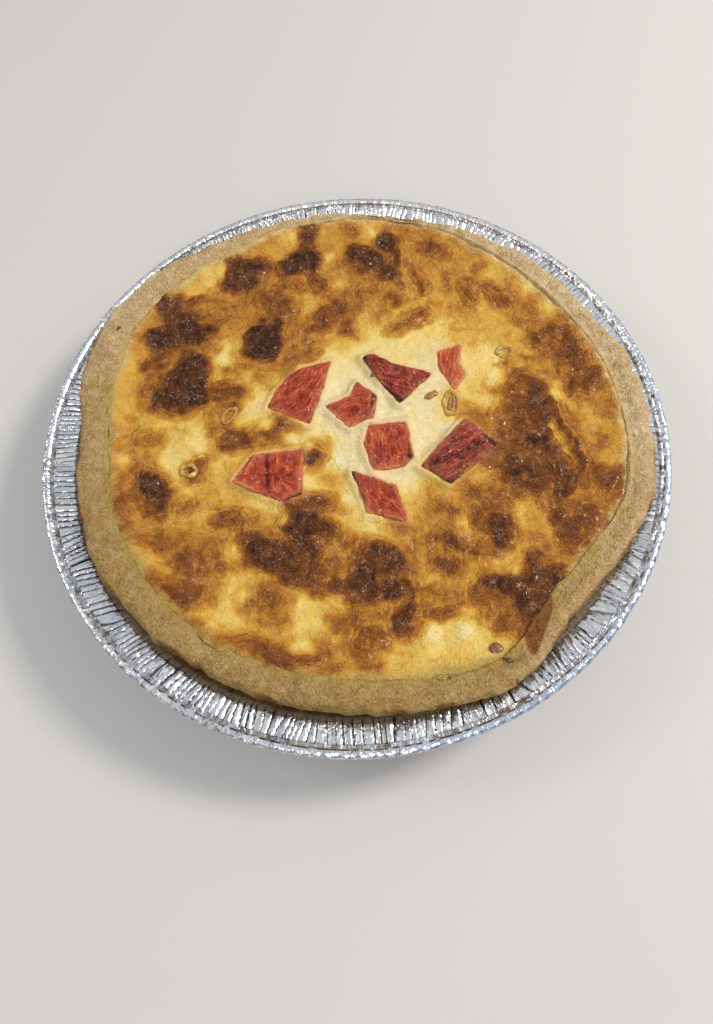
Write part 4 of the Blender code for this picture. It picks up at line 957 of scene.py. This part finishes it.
class Finish:
    """A material built up from nodes."""

    def __init__(self, name, **constants):
        self.material = bpy.data.materials.new(name)
        self.material.use_nodes = True
        self.tree = self.material.node_tree
        self.shader = self.tree.nodes["Principled BSDF"]
        self.set(**constants)

    def set(self, **sockets):
        for name, value in sockets.items():
            feed(self.tree, self.shader.inputs[name.replace("_", " ")], value)

    def node(self, kind, settings=None, sockets=None, output=0):
        """Any node: its type, its settings, then the values or links of its sockets by name or number."""
        made = self.tree.nodes.new("ShaderNode" + kind)
        for name, value in (settings or {}).items():
            if name == "stops":
                ramp = made.color_ramp
                for place, colour in value[1:-1]:
                    ramp.elements.new(place).color = (*colour, 1.0)
                ramp.elements[0].position, ramp.elements[0].color = value[0][0], (*value[0][1], 1.0)
                ramp.elements[-1].position, ramp.elements[-1].color = value[-1][0], (*value[-1][1], 1.0)
            else:
                setattr(made, name, value)
        for name, value in (sockets or {}).items():
            feed(self.tree, made.inputs[name], value)
        return Value(self.tree, made.outputs[output])

    def places(self):
        """Object coordinates in mm."""
        seen = self.node("TexCoord", output="Object")
        return self.node("VectorMath", {"operation": "SCALE"}, {0: seen, "Scale": 1 / MM})

    def moved(self, places, seed):
        """Places shifted by a seed, so that each pattern differs."""
        return self.node("VectorMath", {"operation": "ADD"}, {0: places, 1: (seed * 13.1, seed * 7.7, seed * 3.3)})

    def noise(self, places, size, detail=2.0, rough=0.5, bend=0.0, seed=0.0):
        """Noise from about -1 to 1 with features of a size in mm."""
        moved = self.moved(places, seed)
        raw = self.node("TexNoise", None, {"Vector": moved, "Scale": 1 / size, "Detail": detail,
                                           "Roughness": rough, "Distortion": bend})
        return (raw - 0.5) * 2.6

    def spots(self, places, size, seed=0.0):
        """Distance to the nearest of a scatter of points, in shares of their spacing."""
        return self.node("TexVoronoi", None, {"Vector": self.moved(places, seed), "Scale": 1 / size})

    def net(self, places, size, width, bend=0.5, seed=0.0):
        """1 on the walls between crooked cells of a size in mm, falling to 0 within a width in shares of it."""
        pushed = self.node("TexNoise", None, {"Vector": places, "Scale": 0.7 / size, "Detail": 1.0}, output="Color")
        shift = (seed * 5.1 - bend * size, seed * 9.3 - bend * size, -bend * size)
        bent = self.node("VectorMath", {"operation": "MULTIPLY_ADD"},
                         {0: pushed, 1: (2 * bend * size,) * 3, 2: shift})
        moved = self.node("VectorMath", {"operation": "ADD"}, {0: places, 1: bent})
        wall = self.node("TexVoronoi", {"feature": "DISTANCE_TO_EDGE"}, {"Vector": moved, "Scale": 1 / size})
        return 1 - self.step(wall, 0.0, width)

    def step(self, value, start, end, low=0.0, high=1.0):
        """Smooth rise from low to high as the value goes from start to end."""
        return self.node("MapRange", {"interpolation_type": "SMOOTHSTEP"},
                         {"Value": value, "From Min": start, "From Max": end, "To Min": low, "To Max": high})

    def ramp(self, value, *stops):
        """Colour read from stops of place and colour."""
        return self.node("ValToRGB", {"stops": stops}, {"Fac": value})

    def mix(self, share, first, second, how="MIX"):
        """Blend of two colours."""
        settings = {"data_type": "RGBA", "blend_type": how}
        return self.node("Mix", settings, {0: share, 6: first, 7: second}, output=2)

    def lowered(self, colour):
        """The colour under lights that are set for the foil."""
        return self.mix(1.0, colour, (0.82, 0.82, 0.82), "MULTIPLY")

    def attribute(self, name):
        """A value kept on the piece's points."""
        return self.node("Attribute", {"attribute_name": name}, output="Fac")

    def bump(self, height, distance, under=None):
        """Normal tipped by a height in mm times distance."""
        sockets = {"Height": height, "Distance": distance * MM, "Strength": 1.0}
        if under:
            sockets["Normal"] = under
        return self.node("Bump", None, sockets)


def foil_finish():
    """Bare aluminium with greyer streaks and cool grey patches, painted near-black as shade in its creases and along
    thin radial streaks, more so on its darker side, with a painted blue reflection along one side of its edge, and
    brown in the groove and at the top of its inside, partly fat cooked onto the foil and partly painted shade and
    reflection."""
    made = Finish("foil", Metallic=1.0)
    places = made.places()
    flat = made.node("VectorMath", {"operation": "MULTIPLY"}, {0: places, 1: (1, 1, 0)})
    radius = made.node("VectorMath", {"operation": "LENGTH"}, {0: flat}, output="Value")
    grain = made.noise(places, 1.2, 3)
    crease = made.attribute("crease")
    channel = 1 - made.step(abs(radius - GROOVE_RADIUS), 0.15, 0.7)
    groove = channel * made.step(made.noise(places, 2.5, 3, seed=4), -0.2, 0.5)
    height = made.node("SeparateXYZ", None, {0: places}, output="Z")
    upper = (1 - made.step(radius, 101.4, 103.2)) * made.step(height, 24.7, 25.4)
    inside = upper * made.step(made.noise(places, 4, 3, seed=5), -0.9, 0.3)
    # brown in the groove and at the top of the inside wall: partly fat cooked onto the foil, partly painted shade and
    # reflection; it also makes the foil less metallic and rougher there
    fat_and_shade = groove.most(inside * 0.9)
    coolness = made.noise(places, 5, 2, seed=2)
    dot = {"operation": "DOT_PRODUCT"}
    east = made.node("VectorMath", dot, {0: places, 1: (0.0078, -0.0044, 0)}, output="Value")
    # painted light: how far a place lies towards the foil's brighter side, from -1 to 1; there the foil gets fewer
    # cool grey patches and less painted crease shade, and more of both on the opposite side
    lit = made.node("VectorMath", dot, {0: places, 1: (0.0085, 0.0045, 0)}, output="Value")
    # painted reflection: a blue tint on the outer edge, on one side of the plate
    painted_blue_reflection = made.step(radius, 110.6, 112.0) * made.step(east + 0.15 * grain, 0.45, 0.8)
    cool = made.step(coolness - 0.4 * lit, 0.0, 1.0)
    shade = made.mix(cool, (0.88, 0.88, 0.88), (0.68, 0.72, 0.80))
    shade = made.mix(painted_blue_reflection * 0.7, shade, (0.50, 0.62, 0.86))
    unit = made.node("VectorMath", {"operation": "NORMALIZE"}, {0: flat})
    along = made.node("CombineXYZ", None, {"Z": radius * 0.22})
    spoke = made.node("VectorMath", {"operation": "MULTIPLY_ADD"}, {0: unit, 1: (106, 106, 0), 2: along})
    streak = made.noise(spoke, 0.8, 1, 0.5, bend=0.3, seed=6)
    thin = (1 - made.step(abs(streak), 0.0, 0.14)) * made.step(made.noise(spoke, 3.0, 1, seed=9), -0.4, 0.5)
    greyed = made.mix(made.step(streak, -0.9, 0.5), (0.55, 0.57, 0.61), shade)
    # painted shade: near-black foil colour in the pleats' valleys and along thin radial streaks, more of it on the
    # side away from the painted light
    valleys = made.step(crease + 0.1 * grain - 0.13 * lit, 0.28, 0.62)
    crease_shaded = made.mix(valleys.most(thin * (0.72 - 0.3 * lit)) * 0.93, greyed, (0.07, 0.07, 0.075))
    made.set(Base_Color=made.mix(fat_and_shade, crease_shaded, (0.17, 0.085, 0.035)),
             Metallic=1 - 0.8 * fat_and_shade,
             Roughness=0.24 + 0.05 * grain.most(-0.6) + 0.3 * fat_and_shade,
             Normal=made.bump(grain + 1.6 * streak + 0.5 * made.noise(places, 3.0, 2, seed=7), 0.06))
    return made.material


def crust_finish():
    """Baked shortcrust: tan, mottled pinker and yellower, darker on the side towards the camera, crazed with fine
    pale lines, with dark specks, custard set on to its inside edge and burnt runs over it."""
    made = Finish("crust", Specular_IOR_Level=0.12)
    places = made.places()
    span, bake, pale = made.attribute("span"), made.attribute("bake"), made.attribute("pale")
    edge, burn = made.attribute("edge"), made.attribute("burn")
    mottle = made.noise(places, 4.5, 3, 0.6, seed=2)
    patch = made.noise(places, 1.9, 2, 0.6, bend=0.8, seed=7)
    grain = made.noise(places, 0.8, 1, 0.6, seed=3)
    lines = made.net(places, 1.5, 0.16, 0.6, seed=2) * made.step(patch, -0.6, 0.4)
    tone = 0.60 + 0.22 * mottle + 0.24 * patch + 0.24 * grain + 0.14 * lines - 0.07 * bake
    tone = tone - 0.45 * made.step(edge + 0.3 * patch, 0.25, 0.9)
    base = made.ramp(tone, (0.0, (0.20, 0.085, 0.022)), (0.25, (0.37, 0.20, 0.062)), (0.5, (0.52, 0.34, 0.152)),
                     (0.75, (0.66, 0.485, 0.275)), (1.0, (0.82, 0.68, 0.46)))
    rosy = made.mix(made.step(made.noise(places, 6, 3, seed=6), 0.0, 0.7) * 0.55, base, (0.58, 0.33, 0.21))
    rosy = made.mix(made.step(made.noise(places, 4, 3, seed=16), 0.1, 0.8) * 0.5, rosy, (0.74, 0.60, 0.40))
    specks = 1 - made.step(made.spots(places, 2.2, seed=4), 0.10, 0.2)
    specks = specks * made.step(made.noise(places, 5, 2, seed=8), -0.1, 0.4)
    dark = made.mix(specks * 0.75, rosy, (0.13, 0.06, 0.025))
    near = (1 - made.step(span + 1.4 * mottle + 0.5 * patch, 0.4, 5.0)) * (0.35 + 0.6 * bake)
    custardy = made.mix(made.step(patch + mottle, -0.8, 0.7), (0.50, 0.33, 0.085), (0.66, 0.515, 0.23))
    stained = made.mix(near, dark, custardy)
    washed = made.mix(pale * made.step(mottle, -0.6, 0.2), stained, (0.72, 0.60, 0.33))
    # the colour made darker, most on the side towards the camera, less on its left and least on its right
    darker_colour = made.mix(1.0, washed, (0.69, 0.635, 0.45), "MULTIPLY")
    side_darkened = made.mix(bake.most(0.0).least(1.0), washed, darker_colour)
    scorch = made.mix(made.step(patch, -0.5, 0.5), (0.13, 0.040, 0.010), (0.27, 0.095, 0.02))
    burnt = made.mix(made.step(burn + 0.25 * patch + 0.15 * grain, 0.3, 0.75) * 0.92, side_darkened, scorch)
    height = 0.8 * patch + grain + 0.5 * made.noise(places, 0.45, 2, seed=9) + 0.6 * lines
    made.set(Base_Color=made.lowered(burnt), Roughness=0.62 + 0.08 * grain, Normal=made.bump(height, 0.26))
    return made.material


CUSTARD_STOPS = [
    (0.0, (0.73, 0.615, 0.345)), (0.10, (0.745, 0.575, 0.22)), (0.20, (0.76, 0.545, 0.165)),
    (0.30, (0.70, 0.455, 0.090)),
    (0.40, (0.61, 0.325, 0.044)), (0.49, (0.50, 0.218, 0.027)), (0.58, (0.365, 0.130, 0.018)),
    (0.68, (0.250, 0.080, 0.015)), (0.82, (0.155, 0.050, 0.014)), (1.0, (0.050, 0.019, 0.011)),
]


def custard_finish():
    """Baked custard: cream to gold to scorched brown by the browning, streaked by worm-like lines and by lines that
    follow the edges of the dark places, with a broken net of glossier lines on them that is painted paler as
    highlights, a painted sheen on worm-like lines in the golden parts, painted light and shade over its fine relief,
    pinker by the tomatoes and fading to the crust's colour at its margin, which is darker on the side towards the
    camera."""
    made = Finish("custard", Coat_Roughness=0.14, Specular_IOR_Level=0.06)
    places = made.places()
    brown, away, blush = made.attribute("browning"), made.attribute("away"), made.attribute("blush")
    margin, cream = made.attribute("margin"), made.attribute("cream")
    bake = made.attribute("bake")
    broad = made.noise(places, 5.0, 2, 0.5, bend=0.4, seed=9)
    soft = made.noise(places, 2.2, 2, 0.55, bend=0.6, seed=1)
    worm = made.noise(places, 1.25, 0, 0.5, bend=1.1, seed=2)
    fine = made.noise(places, 0.62, 1, 0.5, seed=6)
    wave = ((away + 0.8 * soft + 0.25 * broad) * (TURN / 1.35)).sine()
    near = 1 - made.step(abs(away - 0.8), 1.6, 4.5)
    grain = worm * (1 - 0.35 * near) + 0.26 * near * wave
    dark = made.step(brown, 0.42, 0.72)
    mid = made.step(brown, 0.08, 0.36)
    tone = brown + (0.015 + 0.035 * mid) * soft + (0.02 + 0.03 * mid) * broad + (0.012 + 0.045 * mid) * fine
    tone = tone + (0.022 + 0.128 * mid + 0.055 * dark) * grain
    lines = made.net(places, 1.35, 0.15, 0.6, seed=3)
    broken = lines * made.step(made.noise(places, 3.0, 2, 0.6, seed=12) + 0.4 * worm, -0.3, 0.5)
    # the broken net is painted paler on the dark places as highlights
    colour = made.ramp(tone - broken * (0.02 * mid + 0.12 * dark), *CUSTARD_STOPS)
    pale = made.step(soft + broad, -0.3, 1.0) * (1 - made.step(brown, 0.03, 0.15)) * 0.7
    creamy = made.mix(pale.most(cream * made.step(soft, -0.8, 0.5) * 0.4), colour, (0.85, 0.77, 0.56))
    # painted sheen: paler gold along the worm-like lines of the golden parts
    painted_sheen = made.mix(made.step(worm + 0.4 * fine, 0.25, 0.75) * mid * (1 - dark) * 0.22, creamy, (0.88, 0.70, 0.38))
    # painted highlights: the net's lines on the dark places turned pale pink
    lit = made.mix(broken * dark * 0.26, painted_sheen, (0.66, 0.38, 0.22))
    pink = made.mix(blush * made.step(broad + soft, -1.0, 0.6) * 0.6, lit, (0.74, 0.34, 0.17))
    crusty = made.mix(bake, (0.63, 0.47, 0.22), (0.42, 0.29, 0.085))
    edge = 1 - made.step(margin + 1.4 * broad + 1.0 * soft, 0.8, 4.6)
    doughy = made.mix(edge * (1 - dark) * 0.92, pink, crusty)
    # painted light and shade: the colour made lighter and darker by the same grain and fine noise that tip the bump
    light = 1.0 + (0.09 + 0.17 * mid + 0.15 * dark) * grain + (0.05 + 0.14 * mid) * fine
    shade = made.mix(1.0, doughy, light, "MULTIPLY")
    height = (0.25 + 0.3 * mid) * fine + (0.1 + 0.9 * dark) * lines + 0.7 * soft
    height = height + (0.4 + 0.4 * mid + 0.6 * dark) * grain
    made.set(Base_Color=made.lowered(shade),
             Roughness=0.45 + 0.06 * soft - 0.08 * dark,
             Coat_Weight=0.03 + broken * (0.08 + 0.42 * dark),
             Normal=made.bump(height, 0.22))
    return made.material


def tomato_finish():
    """Roasted tomato: red, with painted pink highlights along its wrinkles and painted shade in its creases, with
    parts of its cut edge orange, and black where scorched."""
    made = Finish("tomato", Coat_Roughness=0.14, Specular_IOR_Level=0.08)
    places = made.places()
    depth, char, crease = made.attribute("depth"), made.attribute("char"), made.attribute("crease")
    deep, rosy = made.attribute("dark"), made.attribute("pink")
    broad = made.noise(places, 6, 2, 0.5, seed=4)
    soft = made.noise(places, 2.2, 2, 0.6, bend=0.6, seed=1)
    flow = {"X": made.attribute("across"), "Y": made.attribute("along"), "Z": 2.0 * deep}
    flow = made.node("CombineXYZ", None, flow)
    worm = made.noise(flow, 1.5, 1, 0.5, bend=0.5, seed=8)
    vein = 1 - made.step(abs(made.noise(flow, 1.3, 2, 0.6, bend=0.9, seed=3)), 0.0, 0.17)
    fine = made.noise(places, 0.6, 1, 0.6, seed=2)
    lines = vein * made.step(soft + 0.5 * worm, -0.6, 0.3)
    # painted shade: the tone follows the wrinkles' height, darker in the creases and folds and lighter on the crests
    tone = 0.50 + 0.13 * broad + 0.14 * soft + 0.30 * worm + 0.14 * fine + 0.48 * crease - 0.9 * deep
    body = made.ramp(tone, (0.0, (0.09, 0.010, 0.007)), (0.3, (0.26, 0.024, 0.011)),
                     (0.6, (0.46, 0.058, 0.017)), (0.8, (0.61, 0.135, 0.032)), (1.0, (0.78, 0.30, 0.10)))
    crimson = made.mix(made.step(tone, 0.0, 0.8), (0.075, 0.010, 0.010), (0.44, 0.070, 0.045))
    body = made.mix(deep.most(0.0) * 2.2, body, crimson)
    pink = made.mix(rosy * (1 - made.step(depth + soft, 0.5, 3.5)) * 0.75, body, (0.60, 0.19, 0.12))
    rim = (1 - made.step(depth + 0.7 * soft, 0.0, 1.3)) * made.step(broad + 0.5 * soft, -0.45, 0.3) * 0.9
    edged = made.mix(rim, pink, (0.70, 0.27, 0.04))
    # painted highlights: pale pink along the wrinkles' veins
    lit = made.mix(lines * (0.27 + 0.7 * deep), edged, (0.82, 0.42, 0.30))
    burnt = made.mix(made.step(char + 0.3 * soft + 0.15 * fine, 0.3, 0.9) * 0.9, lit, (0.024, 0.012, 0.009))
    made.set(Base_Color=made.lowered(burnt), Roughness=0.36 + 0.08 * fine, Coat_Weight=0.05 + 0.5 * lines,
             Normal=made.bump(0.5 * fine + 0.7 * soft + 0.9 * lines + 0.7 * worm, 0.18))
    return made.material


def leek_finish():
    """Softened leek: pale green-gold, browner by each piece's given brown value."""
    made = Finish("leek", Coat_Weight=0.3, Coat_Roughness=0.2)
    places = made.places()
    brown = made.attribute("brown")
    tone = brown + 0.12 * made.noise(places, 1.2, 3, seed=2)
    shade = made.ramp(tone, (0.0, (0.76, 0.66, 0.30)), (0.35, (0.60, 0.38, 0.07)),
                      (0.7, (0.34, 0.14, 0.02)), (1.0, (0.08, 0.03, 0.012)))
    made.set(Base_Color=made.lowered(shade),
             Roughness=0.4 + 0.05 * made.noise(places, 0.8, 2, seed=4),
             Normal=made.bump(made.noise(places, 0.7, 3, seed=3), 0.08))
    return made.material


def floor_finish():
    """Plain pale grey."""
    made = Finish("floor", Roughness=0.7)
    made.set(Base_Color=(0.50, 0.485, 0.46))
    return made.material


def finish_with(piece, material, node=None):
    """Gives a piece its material and slot, lets it ride and, if asked, stand for a node."""
    piece.data.materials.append(material)
    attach(piece, "root")
    if node:
        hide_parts(node)


def lamp(name, place, aim, size, power, colour=(1, 1, 1)):
    """Soft square lamp at a place, turned to an aim, all in metres and watts."""
    data = bpy.data.lights.new(name, "AREA")
    data.shape, data.size, data.energy, data.color = "SQUARE", size, power, colour
    made = bpy.data.objects.new(name, data)
    back = np.array(place, float) - np.array(aim, float)
    back = back / np.linalg.norm(back)
    side = np.cross((0.0, 0.0, 1.0), back)
    side = side / np.linalg.norm(side)
    up = np.cross(back, side)
    rows = [[side[k], up[k], back[k], place[k]] for k in range(3)]
    made.matrix_world = Matrix(rows + [[0, 0, 0, 1]])
    bpy.context.scene.collection.objects.link(made)
    return made


def stage():
    """Pale floor, soft light from all over with a stronger side, and the photo's camera."""
    world = bpy.data.worlds.new("studio")
    world.use_nodes = True
    tree = world.node_tree
    seen, parts, ramp = (tree.nodes.new("ShaderNode" + kind) for kind in ("TexCoord", "SeparateXYZ", "ValToRGB"))
    ramp.color_ramp.elements[0].color = SKY_LOW
    ramp.color_ramp.elements[1].position = 0.6
    ramp.color_ramp.elements[1].color = SKY_HIGH
    tree.links.new(seen.outputs["Generated"], parts.inputs[0])
    tree.links.new(parts.outputs["Z"], ramp.inputs[0])
    tree.links.new(ramp.outputs[0], tree.nodes["Background"].inputs["Color"])
    bpy.context.scene.world = world
    bpy.context.scene.view_settings.view_transform = "Standard"
    corners = [(-FLOOR, -FLOOR, 0), (FLOOR, -FLOOR, 0), (FLOOR, FLOOR, 0), (-FLOOR, FLOOR, 0)]
    floor = new_object("floor", corners, [(0, 1, 2, 3)])
    floor.data.materials.append(floor_finish())
    lamp("east", (0.95, 0.30, 0.95), (0, 0, 0.03), 0.3, 15.0, (1.0, 0.97, 0.93))
    lamp("west", (-1.0, 0.15, 0.85), (0, 0, 0.03), 0.35, 3.0)
    lamp("south", (0.1, -0.95, 1.0), (0, 0, 0.03), 0.3, 3.6)
    data = bpy.data.cameras.new("camera")
    data.lens, data.sensor_width = LENS, SENSOR
    camera = bpy.data.objects.new("camera", data)
    right, up, look = CAMERA_RIGHT, CAMERA_UP, CAMERA_LOOK
    rows = [[right[k], up[k], -look[k], CAMERA_PLACE[k] * MM] for k in range(3)]
    camera.matrix_world = Matrix(rows + [[0, 0, 0, 1]])
    bpy.context.scene.collection.objects.link(camera)
    bpy.context.scene.camera = camera


def main():
    foil, crust, custard = foil_finish(), crust_finish(), custard_finish()
    flesh, leek = tomato_finish(), leek_finish()
    finish_with(plate_skin(), foil, "foil_plate")
    finish_with(crust_skin(), crust, "crust")
    finish_with(custard_skin(), custard, "filling")
    for number, (stands_out, corners, scorched) in enumerate(TOMATOES, start=1):
        finish_with(tomato_skin(number, stands_out, corners, scorched), flesh, f"tomato_{number}")
    rings = [leek_ring(*row, seed) for seed, row in enumerate(LEEK_RINGS)]
    bits = [lump(*row, LEEK_BIT_HEIGHT, seed, custard_top) for seed, row in enumerate(LEEK_BITS, start=10)]
    flecks = [lump(*row, FLECK_HEIGHT, seed, crust_top) for seed, row in enumerate(FLECKS, start=20)]
    finish_with(joined("leek_rings", rings, {"brown": [0.54, 0.66, 0.58, 0.55, 0.45]}), leek)
    finish_with(joined("leek_bits", bits, {"brown": [0.66, 0.86, 0.85, 0.7]}), leek)
    finish_with(joined("flecks", flecks, {"brown": [1.2, 1.1, 0.9]}), leek)
    stage()


main()
